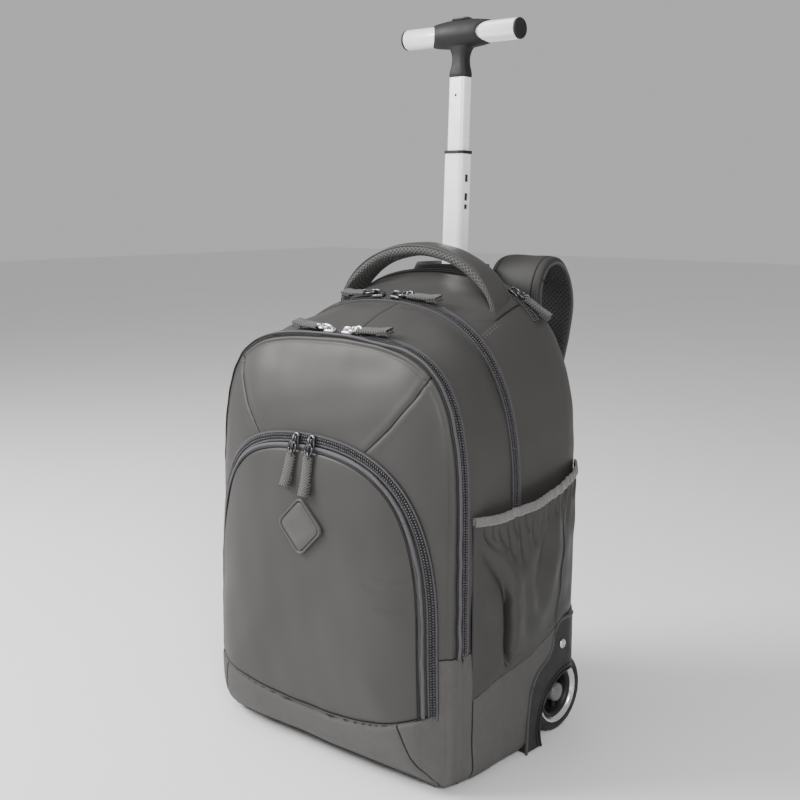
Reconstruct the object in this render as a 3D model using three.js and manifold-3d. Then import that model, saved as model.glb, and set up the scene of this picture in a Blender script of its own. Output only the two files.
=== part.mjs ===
// A wheeled backpack that stands on its base plate and two wheels: three sewn compartments one behind the
// other, an outer front pocket, two elastic side pockets, shoulder straps on the back, a carry handle on top,
// and a single telescopic mast with a T-shaped grip. Millimetres; X to the right seen from the front,
// Y to the back, Z up. The origin is the middle of the base plate's underside.
import * as THREE from 'three';
import { mergeVertices } from 'three/addons/utils/BufferGeometryUtils.js';
import Module from 'manifold-3d';

const wasm = await Module();
wasm.setup();

// Clearance between pieces that touch, and of what is laid on the domed front.
const GAP = 0.35;
const FACE_GAP = 1.2;

// The body.
const BODY_HALF_WIDTH = 165;
const BODY_HEIGHT = 487;
const BODY_FLOOR = 3.4;
const BODY_CORNER = 17;
const MAIN_ZIP_Y = -23;
const REAR_DEPTH = 128;
const MIDDLE_DEPTH = 77;
const FRONT_BAND = 5;
const FRONT_BULGE = 40;
const CLOTH_WALL = 2.4;
const BACK_Y = MAIN_ZIP_Y + REAR_DEPTH;
const FRONT_ZIP_Y = MAIN_ZIP_Y - MIDDLE_DEPTH;
const FACE_CENTRE_Z = 0.452 * BODY_HEIGHT;

// The outer front pocket.
const POCKET_HALF_WIDTH = 140;
const POCKET_BOTTOM = 38;
const POCKET_TOP = 324;
const POCKET_EDGE = 4;
const POCKET_BULGE = 6;
const POCKET_FLARE = 0.02;

// Zippers: tape width, its thickness, and how far below its highest point each ends on the sides.
const ZIP_WIDTH = 14;
const ZIP_THICK = 2;
const FRONT_ZIP_DROP = 294;
const MAIN_ZIP_DROP = 236;
const LAPTOP_ZIP_DROP = 47;
const POCKET_ZIP_DROP = 246;

// Elastic side pockets.
const SIDE_FRONT_Y = -86;
const SIDE_BACK_Y = 90;
const SIDE_SEAM_FRONT = 82;
const SIDE_SEAM_BACK = 145;
const SIDE_TRIM_FRONT = 262;
const SIDE_TRIM_BACK = 289;
const SIDE_BULGE = 15;
const SIDE_WALL = 1.6;
const TRIM_HEIGHT = 8;
const TRIM_THICK = 3.4;

// Base plate, wheels and their housings.
const PLATE_THICK = 3;
const PLATE_HALF_WIDTH = 150;
const PLATE_FRONT_Y = -88;
const PLATE_BACK_Y = 88;
const PLATE_CORNER = 18;
const WHEEL_RADIUS = 42;
const WHEEL_WIDTH = 23;
const WHEEL_Y = 76;
const TYRE_DEPTH = 8.5;
const RIM_DEPTH = 7;
const AXLE_RADIUS = 4;
const AXLE_CLEARANCE = 0.3;
const HOUSING_PROUD = 2;
const HOUSING_WIDTH = 46;
const HOUSING_WALL = 5;
const HOUSING_FACE = 4.5;
const HOUSING_CORNER = 28;
const HOUSING_TOP = 130;
const WHEEL_CLEARANCE = 4;
const ARCH_RADIUS = 50;
const ARCH_CENTRE_Z = 21;
const RIVET_RADIUS = 5;
const RIVET_HEIGHT = 1.8;

// The telescopic mast. Sections are width along X by depth along Y.
const MAST_Y = 86;
const MAST_LEAN = THREE.MathUtils.degToRad(2.2);
const SLEEVE = { width: 31, depth: 24, wall: 1.5, corner: 6 };
const LOWER_TUBE = { width: 26, depth: 19, wall: 1.2, corner: 5 };
const UPPER_TUBE = { width: 22, depth: 15, wall: 1.2, corner: 4 };
const LOWER_TOP = 126;
const LOWER_LENGTH = 380;
const UPPER_TOP = 207;
const UPPER_LENGTH = 360;
const RING_THICK = 3;
const COLLAR_MARGIN = 6;
const COLLAR_HEIGHT = 12;
const PIN_RADIUS = 1.6;
const PIN_DROP = 19;

// The T-shaped grip.
const BAR_LENGTH = 150;
const BAR_RADIUS = 11;
const BAR_WALL = 1.6;
const BAR_CAP = 3;
const BAR_RISE = 45;
const SADDLE_HALF = 34;
const SADDLE_RADIUS = 15.2;
const BUTTON_LENGTH = 22;
const BUTTON_WIDTH = 12;
const BUTTON_PROUD = 3;
const BUTTON_SUNK = 1.2;
const BUTTON_TRAVEL = 1.8;

// Carry handle, shoulder straps and their webbing.
const HANDLE_Y = 34;
const HANDLE_HALF_SPAN = 106;
const HANDLE_RISE = 45;
const HANDLE_WIDTH = 32;
const HANDLE_THICK = 12;
const STRAP_X = 67;
const STRAP_WIDTH = 68;
const STRAP_THICK = 11;
const WEBBING_WIDTH = 25;
const WEBBING_THICK = 2;
const ANCHOR_RISE = 30;
const BUCKLE = { margin: 5, height: 26, thick: 3, rung: 4, corner: 4, drop: 22 };
const PAD_HALF_WIDTH = 50;
const PAD_THICK = 8;
const PAD_LOW = 190;
const PAD_HIGH = 385;
const PAD_CORNER = 16;

// Zip sliders and their fabric tabs.
const SLIDER = { length: 11, width: 8, height: 4.5, ringRadius: 4.4, wire: 0.9 };
const TAB_WIDTH = 12;
const TAB_THICK = 2.6;
const TAB_REACH = 52;

// Badge: a diamond-shaped rubber patch.
const BADGE = { halfWidth: 29, halfHeight: 28, corner: 7, thick: 2.2, rim: 2.4, groove: 0.9, x: 3, z: 247 };

const ringPoints = 48;

const finishes = {
  coatedCloth: new THREE.MeshStandardMaterial({ color: 0x5b5957, roughness: 0.5, metalness: 0 }),
  zipTape: new THREE.MeshStandardMaterial({ color: 0x3f3e42, roughness: 0.8, metalness: 0 }),
  elastic: new THREE.MeshStandardMaterial({ color: 0x6c6966, roughness: 0.8, metalness: 0 }),
  airMesh: new THREE.MeshStandardMaterial({ color: 0x2a2a2b, roughness: 0.9, metalness: 0 }),
  blackPlastic: new THREE.MeshStandardMaterial({ color: 0x333333, roughness: 0.55, metalness: 0 }),
  tyreRubber: new THREE.MeshStandardMaterial({ color: 0x161616, roughness: 0.8, metalness: 0 }),
  satinAluminium: new THREE.MeshStandardMaterial({ color: 0xd9dadb, roughness: 0.35, metalness: 0.9 }),
  gunmetal: new THREE.MeshStandardMaterial({ color: 0x6a6a6a, roughness: 0.3, metalness: 0.9 }),
  badgeRubber: new THREE.MeshStandardMaterial({ color: 0x6b6a68, roughness: 0.6, metalness: 0 }),
};

const backpack = new THREE.Group();

function addPiece(name, geometry, finish, parent = backpack) {
  const mesh = new THREE.Mesh(geometry, finish);
  mesh.name = name;
  parent.add(mesh);
  return mesh;
}

// The same geometry on both sides of the body: as it is on the right, mirrored on the left.
function addPair(name, geometry, finish) {
  addPiece(`${name}_right`, geometry, finish);
  addPiece(`${name}_left`, mirrored(geometry), finish);
}

// Solids: a closed surface as a manifold, and back.
function solidOf(geometry) {
  const bare = new THREE.BufferGeometry();
  bare.setAttribute('position', geometry.getAttribute('position'));
  if (geometry.index) bare.setIndex(geometry.index);
  const merged = mergeVertices(bare, 1e-4);
  return new wasm.Manifold(
    new wasm.Mesh({
      numProp: 3,
      vertProperties: new Float32Array(merged.getAttribute('position').array),
      triVerts: new Uint32Array(merged.index.array),
    }),
  );
}

function geometryOf(solid) {
  const mesh = solid.getMesh();
  const geometry = new THREE.BufferGeometry();
  geometry.setAttribute('position', new THREE.BufferAttribute(mesh.vertProperties, 3));
  geometry.setIndex(new THREE.BufferAttribute(mesh.triVerts, 1));
  geometry.computeVertexNormals();
  return geometry;
}

function joined(...geometries) {
  return geometryOf(geometries.map(solidOf).reduce((whole, next) => whole.add(next)));
}

function cut(geometry, ...cutters) {
  return geometryOf(cutters.map(solidOf).reduce((rest, cutter) => rest.subtract(cutter), solidOf(geometry)));
}

function mirrored(geometry) {
  return geometryOf(solidOf(geometry).mirror([1, 0, 0]));
}

function signedVolume(positions, index) {
  let volume = 0;
  const corner = (k) => new THREE.Vector3().fromArray(positions, 3 * index[k]);
  for (let i = 0; i < index.length; i += 3) volume += corner(i).dot(corner(i + 1).cross(corner(i + 2))) / 6;
  return volume;
}

// A closed skin over rings of equal count, each end closed by a fan. Its faces are turned outwards.
function loft(rings) {
  const count = rings[0].length;
  const positions = rings.flat(2);
  const index = [];
  for (let r = 0; r + 1 < rings.length; r++)
    for (let i = 0; i < count; i++) {
      const a = r * count + i;
      const b = r * count + ((i + 1) % count);
      index.push(a, b, b + count, a, b + count, a + count);
    }
  const fan = (ring, first, turned) => {
    const centre = positions.length / 3;
    for (let axis = 0; axis < 3; axis++) positions.push(ring.reduce((sum, p) => sum + p[axis], 0) / count);
    for (let i = 0; i < count; i++) {
      const [a, b] = [first + i, first + ((i + 1) % count)];
      index.push(...(turned ? [centre, b, a] : [centre, a, b]));
    }
  };
  fan(rings[0], 0, true);
  fan(rings.at(-1), (rings.length - 1) * count, false);
  if (signedVolume(positions, index) < 0) index.reverse();
  const geometry = new THREE.BufferGeometry();
  geometry.setAttribute('position', new THREE.BufferAttribute(new Float32Array(positions), 3));
  geometry.setIndex(index);
  geometry.computeVertexNormals();
  return geometry;
}

// A shape drawn in the Y-Z plane, pulled along X from fromX to toX.
function sidePrism(shape, fromX, toX, steps = 12) {
  const options = { depth: toX - fromX, bevelEnabled: false, curveSegments: steps };
  const turn = new THREE.Matrix4().set(0, 0, 1, fromX, 1, 0, 0, 0, 0, 1, 0, 0, 0, 0, 0, 1);
  return new THREE.ExtrudeGeometry(shape, options).applyMatrix4(turn);
}

// A shape drawn in the X-Y plane, pulled up Z from fromZ to toZ.
function uprightPrism(shape, fromZ, toZ, steps = 4) {
  const options = { depth: toZ - fromZ, bevelEnabled: false, curveSegments: steps };
  return new THREE.ExtrudeGeometry(shape, options).translate(0, 0, fromZ);
}

function roundedRectangle(width, depth, corner, path = new THREE.Shape()) {
  const [x, y] = [width / 2, depth / 2];
  path.moveTo(-x + corner, -y);
  path.lineTo(x - corner, -y);
  path.absarc(x - corner, -y + corner, corner, -Math.PI / 2, 0);
  path.absarc(x - corner, y - corner, corner, 0, Math.PI / 2);
  path.absarc(-x + corner, y - corner, corner, Math.PI / 2, Math.PI);
  path.absarc(-x + corner, -y + corner, corner, Math.PI, 1.5 * Math.PI);
  path.closePath();
  return path;
}

function discAcross(radius, y, z, fromX, toX, segments = 32) {
  const disc = new THREE.CylinderGeometry(radius, radius, toX - fromX, segments);
  return disc.rotateZ(-Math.PI / 2).translate((fromX + toX) / 2, y, z);
}

function block(fromX, toX, fromY, toY, fromZ, toZ) {
  const box = new THREE.BoxGeometry(toX - fromX, toY - fromY, toZ - fromZ);
  return box.translate((fromX + toX) / 2, (fromY + toY) / 2, (fromZ + toZ) / 2);
}

// Outline of a compartment seen from the front: flat bottom, round bottom corners, straight sides, and
// shoulders that curve in to the top. It runs from the bottom middle up the right side and down the left.
function outline({ half, bottom, corner, shoulder, top, lift, run }, grow = 0) {
  const path = new THREE.Path();
  const [side, low, high, radius] = [half + grow, bottom - grow, top + grow, corner + grow];
  path.moveTo(0, low);
  path.lineTo(side - radius, low);
  path.absarc(side - radius, low + radius, radius, -Math.PI / 2, 0);
  path.lineTo(side, shoulder);
  path.bezierCurveTo(side, shoulder + lift * (high - shoulder), run * side, high, 0, high);
  const right = path.getSpacedPoints(ringPoints / 2).map((p) => [p.x, p.y]);
  const left = right.slice(1, -1).reverse().map(([x, z]) => [-x, z]);
  return [...right, ...left];
}

// Sections of the body from the front zipper to the back panel. at is a share of the way from the main zipper
// back (0 to 1) or forward (0 to -1); half is a share of the half width; foot, shoulder and top are shares of
// the height; lift and run shape the shoulder.
const bodySections = [
  { at: -1.0, half: 0.985, foot: 0.0, shoulder: 0.55, top: 0.885, lift: 0.93, run: 0.74 },
  { at: -0.5, half: 1.0, foot: 0.0, shoulder: 0.62, top: 0.92, lift: 0.79, run: 0.7 },
  { at: 0.0, half: 1.0, foot: 0.0, shoulder: 0.567, top: 0.947, lift: 0.76, run: 0.62 },
  { at: 0.2, half: 1.0, foot: 0.0, shoulder: 0.58, top: 0.962, lift: 0.82, run: 0.6 },
  { at: 0.42, half: 1.0, foot: 0.0, shoulder: 0.6, top: 0.981, lift: 0.86, run: 0.58 },
  { at: 0.64, half: 1.0, foot: 0.0, shoulder: 0.61, top: 1.0, lift: 0.86, run: 0.56 },
  { at: 0.78, half: 0.99, foot: 0.0, shoulder: 0.61, top: 0.996, lift: 0.86, run: 0.56 },
  { at: 0.88, half: 0.965, foot: 0.008, shoulder: 0.605, top: 0.972, lift: 0.86, run: 0.58 },
  { at: 0.95, half: 0.925, foot: 0.02, shoulder: 0.6, top: 0.938, lift: 0.85, run: 0.6 },
  { at: 1.0, half: 0.86, foot: 0.04, shoulder: 0.59, top: 0.89, lift: 0.84, run: 0.62 },
];

const sectionY = (at) => MAIN_ZIP_Y + at * (at < 0 ? MIDDLE_DEPTH : REAR_DEPTH);

function bodySectionAt(y) {
  const at = (y - MAIN_ZIP_Y) / (y < MAIN_ZIP_Y ? MIDDLE_DEPTH : REAR_DEPTH);
  const next = Math.max(1, bodySections.findIndex((row) => row.at >= Math.min(at, 1)));
  const [a, b] = [bodySections[next - 1], bodySections[next]];
  const share = (at - a.at) / (b.at - a.at);
  const mixed = (column) => a[column] + share * (b[column] - a[column]);
  return {
    half: BODY_HALF_WIDTH * mixed('half'),
    bottom: BODY_FLOOR + BODY_HEIGHT * mixed('foot'),
    corner: BODY_CORNER,
    shoulder: BODY_HEIGHT * mixed('shoulder'),
    top: BODY_HEIGHT * mixed('top'),
    lift: mixed('lift'),
    run: mixed('run'),
  };
}

const bodyOutline = (y, grow = 0) => outline(bodySectionAt(y), grow);
const atDepth = (ring, y) => ring.map(([x, z]) => [x, y, z]);

// Height of the body's upper surface above a point.
function bodyTopAt(x, y) {
  const ring = bodyOutline(y).slice(ringPoints / 4, ringPoints / 2);
  const next = ring.findLastIndex((p) => p[0] > Math.abs(x)) + 1;
  const [a, b] = [ring[next - 1], ring[next] ?? [0, bodySectionAt(y).top]];
  return a[1] + ((a[0] - Math.abs(x)) / (a[0] - b[0])) * (b[1] - a[1]);
}

// A solid of the body between two depths; grow widens it all round, and endGrow moves its two ends out.
function bodySolid(fromY, toY, grow = 0, endGrow = 0) {
  const between = bodySections.map((row) => sectionY(row.at)).filter((y) => y > fromY + 1 && y < toY - 1);
  const stations = [fromY, ...between, toY];
  const rings = stations.map((y) => atDepth(bodyOutline(y, grow), y));
  rings[0] = atDepth(bodyOutline(fromY, grow), fromY - endGrow);
  rings[rings.length - 1] = atDepth(bodyOutline(toY, grow), toY + endGrow);
  return loft(rings);
}

// How far a point lies from the centre of an outline, as a share of the way to its edge.
function shareOf(x, z, ring, centreZ) {
  const [dx, dz] = [x, z - centreZ];
  const away = Math.hypot(dx, dz);
  if (away < 1e-6) return 0;
  let reach = Infinity;
  ring.forEach(([ax, az], i) => {
    const [bx, bz] = ring[(i + 1) % ring.length];
    const [ex, ez] = [bx - ax, bz - az];
    const cross = dx * ez - dz * ex;
    if (Math.abs(cross) < 1e-9) return;
    const along = (ax * ez - (az - centreZ) * ex) / cross;
    const side = (ax * dz - (az - centreZ) * dx) / cross;
    if (along > 0 && side >= -1e-6 && side <= 1 + 1e-6) reach = Math.min(reach, along);
  });
  return 1 / reach;
}

function scaledRing(ring, share, centreZ) {
  return ring.map(([x, z]) => [x * share, centreZ + (z - centreZ) * share]);
}

// The front compartment's domed face, full at the foot and leaning back towards the top.
const faceOutline = bodyOutline(FRONT_ZIP_Y);

function dome(share, z) {
  const rise = THREE.MathUtils.smoothstep(z, 0.2 * BODY_HEIGHT, 0.86 * BODY_HEIGHT);
  return Math.max(0, 1 - share ** (4.2 - 1.8 * rise)) ** (0.55 + 0.17 * rise);
}

const faceY = (x, z) =>
  FRONT_ZIP_Y - FRONT_BAND - FRONT_BULGE * dome(Math.min(1, shareOf(x, z, faceOutline, FACE_CENTRE_Z)), z);
const domeShares = [0.2, 0.4, 0.6, 0.74, 0.85, 0.92, 0.97, 0.99, 1];

function frontSolid(inset, backY) {
  const ring = bodyOutline(FRONT_ZIP_Y, -inset);
  const depth = (share, z) => FRONT_ZIP_Y - FRONT_BAND - (FRONT_BULGE - inset) * dome(share, z);
  const front = domeShares.map((share) =>
    scaledRing(ring, share, FACE_CENTRE_Z).map(([x, z]) => [x, depth(share, z), z]),
  );
  return loft([...front, atDepth(ring, backY)]);
}

// The outer pocket follows the domed face.
const pocketSection = {
  half: POCKET_HALF_WIDTH,
  bottom: POCKET_BOTTOM,
  corner: 0.22 * POCKET_HALF_WIDTH,
  shoulder: POCKET_BOTTOM + 0.42 * (POCKET_TOP - POCKET_BOTTOM),
  top: POCKET_TOP,
  lift: 0.86,
  run: 0.62,
};
const pocketCentreZ = (POCKET_BOTTOM + POCKET_TOP) / 2;
const seatOnFace = (x, z) => faceY(x, z) - FACE_GAP;

// Its sides flare towards the foot.
function pocketOutline(grow = 0) {
  const flare = (z) => 1 + POCKET_FLARE * (1 - THREE.MathUtils.smoothstep(z, POCKET_BOTTOM, pocketCentreZ));
  return outline(pocketSection, grow).map(([x, z]) => [x * flare(z), z]);
}

const pocketHeight = (share) => POCKET_EDGE + POCKET_BULGE * Math.max(0, 1 - share ** 3) ** 0.6;

function pocketFaceY(x, z) {
  const share = Math.min(1, shareOf(x, z, pocketOutline(), pocketCentreZ));
  return seatOnFace(x, z) - pocketHeight(share);
}

function pocketSolid(inset, backOffset) {
  const ring = pocketOutline(-inset);
  const shares = [0.2, 0.45, 0.65, 0.8, 0.92, 1];
  const front = shares.map((share) =>
    scaledRing(ring, share, pocketCentreZ).map(([x, z]) => {
      return [x, seatOnFace(x, z) - pocketHeight(share) + inset, z];
    }),
  );
  const back = [...shares].reverse().map((share) =>
    scaledRing(ring, share, pocketCentreZ).map(([x, z]) => [x, seatOnFace(x, z) + backOffset, z]),
  );
  return loft([...front, ...back]);
}

const housingOuterX = BODY_HALF_WIDTH + HOUSING_PROUD;
const housingInnerX = housingOuterX - HOUSING_WIDTH;
const chamberInnerX = housingInnerX + HOUSING_WALL;
const chamberOuterX = housingOuterX - HOUSING_FACE;

// Wheel housing: its side profile, forward edge first, as shares of its height and of its depth ahead of
// the wheel's axle.
const housingDepthAhead = WHEEL_Y - 3;
const housingProfile = [
  { ahead: 1.0, up: 0.02 },
  { ahead: 0.985, up: 0.29 },
  { ahead: 0.9, up: 0.53 },
  { ahead: 0.75, up: 0.65 },
  { ahead: 0.48, up: 0.75 },
  { ahead: 0.34, up: 0.93 },
  { ahead: 0.22, up: 1.0 },
];
const housingBackY = BACK_Y - 3;

function housingShape(grow = 0) {
  const shape = new THREE.Shape();
  housingProfile.forEach(({ ahead, up }, i) => {
    const y = WHEEL_Y - ahead * housingDepthAhead - grow;
    const z = up * HOUSING_TOP + (i === 0 ? -grow : grow);
    if (i === 0) shape.moveTo(y, z);
    else shape.lineTo(y, z);
  });
  shape.lineTo(housingBackY + grow, HOUSING_TOP + grow);
  shape.lineTo(housingBackY + grow, 0.46 * HOUSING_TOP);
  shape.lineTo(WHEEL_Y + 0.4 * WHEEL_RADIUS + grow, 0.02 * HOUSING_TOP - grow);
  shape.closePath();
  return shape;
}

const housingFrontY = WHEEL_Y - housingDepthAhead;
const axleFootX = housingInnerX + 2;

// A disc about the wheel's axle, from one X to another.
function aboutAxle(radius, fromX, toX, segments) {
  return discAcross(radius, WHEEL_Y, WHEEL_RADIUS, fromX, toX, segments);
}

function wheelHousing() {
  const chamberRadius = WHEEL_RADIUS + WHEEL_CLEARANCE;
  const below = -WHEEL_RADIUS;
  const behind = BACK_Y + WHEEL_RADIUS;
  const chamber = aboutAxle(chamberRadius, chamberInnerX, chamberOuterX, 40);
  const wayDown = block(
    chamberInnerX, chamberOuterX,
    WHEEL_Y - chamberRadius, WHEEL_Y + chamberRadius,
    below, WHEEL_RADIUS,
  );
  const wayBack = block(chamberInnerX, chamberOuterX, WHEEL_Y, behind, below, WHEEL_RADIUS + chamberRadius);
  const archFrom = chamberOuterX - 1;
  const archTo = housingOuterX + 1;
  const arch = discAcross(ARCH_RADIUS, WHEEL_Y, ARCH_CENTRE_Z, archFrom, archTo, 48);
  const archDown = block(archFrom, archTo, WHEEL_Y - ARCH_RADIUS, behind, below, ARCH_CENTRE_Z);
  const archBack = block(archFrom, archTo, WHEEL_Y, behind, below, ARCH_CENTRE_Z + ARCH_RADIUS);
  const axleHole = aboutAxle(AXLE_RADIUS + GAP, axleFootX, chamberInnerX + 1, 24);
  const hollow = block(
    housingInnerX - 1, housingOuterX - HOUSING_CORNER / 2,
    WHEEL_Y - 0.1 * housingDepthAhead, housingBackY - HOUSING_WALL,
    WHEEL_RADIUS + chamberRadius + HOUSING_WALL / 2, HOUSING_TOP - HOUSING_WALL / 2,
  );
  const side = solidOf(sidePrism(housingShape(), housingInnerX, housingOuterX));
  const plan = new THREE.Shape();
  plan.moveTo(housingInnerX - 1, -BACK_Y);
  plan.lineTo(housingOuterX, -BACK_Y);
  plan.absarc(housingOuterX - HOUSING_CORNER, housingBackY - HOUSING_CORNER, HOUSING_CORNER, 0, Math.PI / 2);
  plan.lineTo(housingInnerX - 1, housingBackY);
  plan.closePath();
  const rounded = geometryOf(side.intersect(solidOf(uprightPrism(plan, -1, HOUSING_TOP + 1, 8))));
  return cut(rounded, chamber, wayDown, wayBack, arch, archDown, archBack, axleHole, hollow);
}

const housingRoom = joined(
  sidePrism(housingShape(GAP), housingInnerX - GAP, housingOuterX + BODY_CORNER),
  block(
    housingInnerX - GAP, housingOuterX + BODY_CORNER,
    WHEEL_Y, BACK_Y + BODY_CORNER,
    -BODY_CORNER, HOUSING_TOP + GAP,
  ),
);
const housingRooms = [housingRoom, mirrored(housingRoom)];

// The mast stands in its own leaning frame, whose origin is where its axis meets the top of the body.
const mast = new THREE.Group();
mast.position.set(0, MAST_Y, BODY_HEIGHT);
mast.rotation.x = -MAST_LEAN;
mast.updateMatrixWorld(true);
backpack.add(mast);

const inBodyFrame = (geometry) => geometry.clone().applyMatrix4(mast.matrixWorld);

function mastTube({ width, depth, wall, corner }, fromZ, toZ) {
  const section = roundedRectangle(width, depth, corner);
  section.holes.push(roundedRectangle(width - 2 * wall, depth - 2 * wall, corner - wall, new THREE.Path()));
  return uprightPrism(section, fromZ, toZ);
}

function mastPlug({ width, depth, corner }, grow, fromZ, toZ) {
  return uprightPrism(roundedRectangle(width + 2 * grow, depth + 2 * grow, corner + grow), fromZ, toZ);
}

const collarTop = 0.5 * COLLAR_HEIGHT;
const collarBottom = collarTop - 4.6 * COLLAR_HEIGHT;

// Body compartments
function rearCompartment() {
  const outer = bodySolid(MAIN_ZIP_Y + GAP / 2, BACK_Y);
  const inner = bodySolid(MAIN_ZIP_Y + GAP / 2, BACK_Y - CLOTH_WALL, -CLOTH_WALL);
  const mouth = bodySolid(MAIN_ZIP_Y, MAIN_ZIP_Y + 2, -CLOTH_WALL, 1);
  const collarRoom = inBodyFrame(mastPlug(SLEEVE, COLLAR_MARGIN + GAP, collarBottom, COLLAR_HEIGHT * 4));
  return cut(outer, inner, mouth, collarRoom, ...housingRooms);
}

function middleCompartment() {
  const front = FRONT_ZIP_Y + GAP;
  const outer = bodySolid(front, MAIN_ZIP_Y - GAP / 2);
  const inner = bodySolid(front + CLOTH_WALL, MAIN_ZIP_Y - GAP / 2, -CLOTH_WALL);
  const mouth = bodySolid(MAIN_ZIP_Y - 2, MAIN_ZIP_Y, -CLOTH_WALL, 1);
  return cut(outer, inner, mouth);
}

addPiece('rear_compartment', rearCompartment(), finishes.coatedCloth);
addPiece('middle_compartment', middleCompartment(), finishes.coatedCloth);
addPiece(
  'front_compartment',
  cut(frontSolid(0, FRONT_ZIP_Y), frontSolid(CLOTH_WALL, FRONT_ZIP_Y + 1)),
  finishes.coatedCloth,
);
addPiece('front_pocket', cut(pocketSolid(0, 0), pocketSolid(CLOTH_WALL, 2)), finishes.coatedCloth);

// Zippers
// A band over the body's outline that crosses a seam and hangs down by drop on both sides.
function bodyZip(seamY, drop) {
  const front = Math.max(seamY - ZIP_WIDTH / 2, FRONT_ZIP_Y);
  const depths = [seamY - ZIP_WIDTH / 2, Math.max(seamY, FRONT_ZIP_Y), seamY + ZIP_WIDTH / 2];
  const sections = [front, Math.max(seamY, FRONT_ZIP_Y), seamY + ZIP_WIDTH / 2];
  const under = sections.map((y) => bodyOutline(y, 1.5 * GAP));
  const over = sections.map((y) => bodyOutline(y, 1.5 * GAP + ZIP_THICK));
  const rings = under[1].map((point, i) => [
    ...depths.map((y, k) => [under[k][i][0], y, under[k][i][1]]),
    ...depths.map((y, k) => [over[k][i][0], y, over[k][i][1]]).reverse(),
  ]);
  const endZ = bodySectionAt(seamY).top - drop;
  return loft(rings.filter((ring, i) => under[1][i][1] > endZ));
}

// The pocket's zipper lies on the domed face, just outside the pocket's edge.
function pocketZip() {
  const [near, far] = [pocketOutline(GAP), pocketOutline(GAP + ZIP_WIDTH - 2)];
  const middle = near.map((p, i) => [(p[0] + far[i][0]) / 2, (p[1] + far[i][1]) / 2]);
  const across = [near, middle, far];
  const rings = near.map((point, i) => [
    ...across.map((line) => [line[i][0], seatOnFace(...line[i]), line[i][1]]),
    ...across.map((line) => [line[i][0], seatOnFace(...line[i]) - ZIP_THICK, line[i][1]]).reverse(),
  ]);
  return loft(rings.filter((ring, i) => near[i][1] > POCKET_TOP - POCKET_ZIP_DROP));
}

// The laptop compartment's zipper runs over the highest part of the body.
const laptopZipY = sectionY(bodySections.find((row) => row.top === 1).at);

addPiece('main_zipper', bodyZip(MAIN_ZIP_Y, MAIN_ZIP_DROP), finishes.zipTape);
addPiece('laptop_zipper', bodyZip(laptopZipY, LAPTOP_ZIP_DROP), finishes.zipTape);
addPiece('front_zipper', bodyZip(FRONT_ZIP_Y, FRONT_ZIP_DROP), finishes.zipTape);
addPiece('pocket_zipper', pocketZip(), finishes.zipTape);

// Elastic side pockets
const sideSteps = 16;
const sideRows = [0, 0.25, 0.5, 0.75, 1];
const sideY = (share) => SIDE_FRONT_Y + share * (SIDE_BACK_Y - SIDE_FRONT_Y);
const seamZ = (share) => SIDE_SEAM_FRONT + share * (SIDE_SEAM_BACK - SIDE_SEAM_FRONT);
const trimZ = (share) => SIDE_TRIM_FRONT + share ** 2 * (SIDE_TRIM_BACK - SIDE_TRIM_FRONT);
const sideSwell = (share, up) => SIDE_BULGE * Math.sin(Math.PI * share) ** 0.6 * (0.15 + 0.85 * up ** 0.7);

// A point of the pocket's wall: share of the way back, share of the way up, and how far out of the body.
function sidePoint(share, up, out) {
  const y = sideY(share);
  const z = seamZ(share) + up * (trimZ(share) - seamZ(share));
  return [bodySectionAt(y).half + GAP + sideSwell(share, up) + out, y, z];
}

function sidePocket() {
  const rings = [];
  for (let i = 0; i <= sideSteps; i++) {
    const share = i / sideSteps;
    rings.push([
      ...sideRows.map((up) => sidePoint(share, up, 0)),
      ...[...sideRows].reverse().map((up) => sidePoint(share, up, SIDE_WALL)),
    ]);
  }
  return loft(rings);
}

function sideTrim() {
  const middle = SIDE_WALL / 2;
  const rings = [];
  for (let i = 0; i <= sideSteps; i++) {
    const share = i / sideSteps;
    const corners = [
      [0, GAP],
      [0, GAP + TRIM_HEIGHT],
      [TRIM_THICK, GAP + TRIM_HEIGHT],
      [TRIM_THICK, GAP],
    ];
    const [x, y, z] = sidePoint(share, 1, middle - Math.min(middle, TRIM_THICK / 2));
    rings.push(corners.map(([out, up]) => [x + out, y, z + up]));
  }
  return loft(rings);
}

addPair('side_pocket', sidePocket(), finishes.coatedCloth);
addPair('pocket_trim', sideTrim(), finishes.elastic);

// Base plate, housings and wheels
function basePlate() {
  const depth = PLATE_BACK_Y - PLATE_FRONT_Y;
  const plate = uprightPrism(roundedRectangle(2 * PLATE_HALF_WIDTH, depth, PLATE_CORNER), 0, PLATE_THICK);
  const wheelRoom = block(
    housingInnerX - GAP, housingOuterX,
    housingFrontY - GAP, BACK_Y,
    -1, PLATE_THICK + 1,
  );
  return cut(plate.translate(0, (PLATE_FRONT_Y + PLATE_BACK_Y) / 2, 0), wheelRoom, mirrored(wheelRoom));
}

const wheelMiddleX = (chamberInnerX + chamberOuterX) / 2;
const boreEndX = wheelMiddleX + 0.35 * WHEEL_WIDTH;
const rimRadius = WHEEL_RADIUS - TYRE_DEPTH - GAP;
const hubRadius = rimRadius - RIM_DEPTH - GAP;

function turnedAboutAxle(profile, segments = 36) {
  const lathe = new THREE.LatheGeometry(profile.map(([r, x]) => new THREE.Vector2(r, x)), segments);
  return lathe.rotateZ(-Math.PI / 2).translate(wheelMiddleX, WHEEL_Y, WHEEL_RADIUS);
}

function tyre() {
  const [inner, outer, half] = [WHEEL_RADIUS - TYRE_DEPTH, WHEEL_RADIUS, WHEEL_WIDTH / 2];
  const shoulder = 0.35 * TYRE_DEPTH;
  return turnedAboutAxle([
    [inner, -half],
    [outer - shoulder, -half],
    [outer - 0.3 * shoulder, -half + 0.6 * shoulder],
    [outer, -half + 2 * shoulder],
    [outer, half - 2 * shoulder],
    [outer - 0.3 * shoulder, half - 0.6 * shoulder],
    [outer - shoulder, half],
    [inner, half],
    [inner, -half],
  ]);
}

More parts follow.
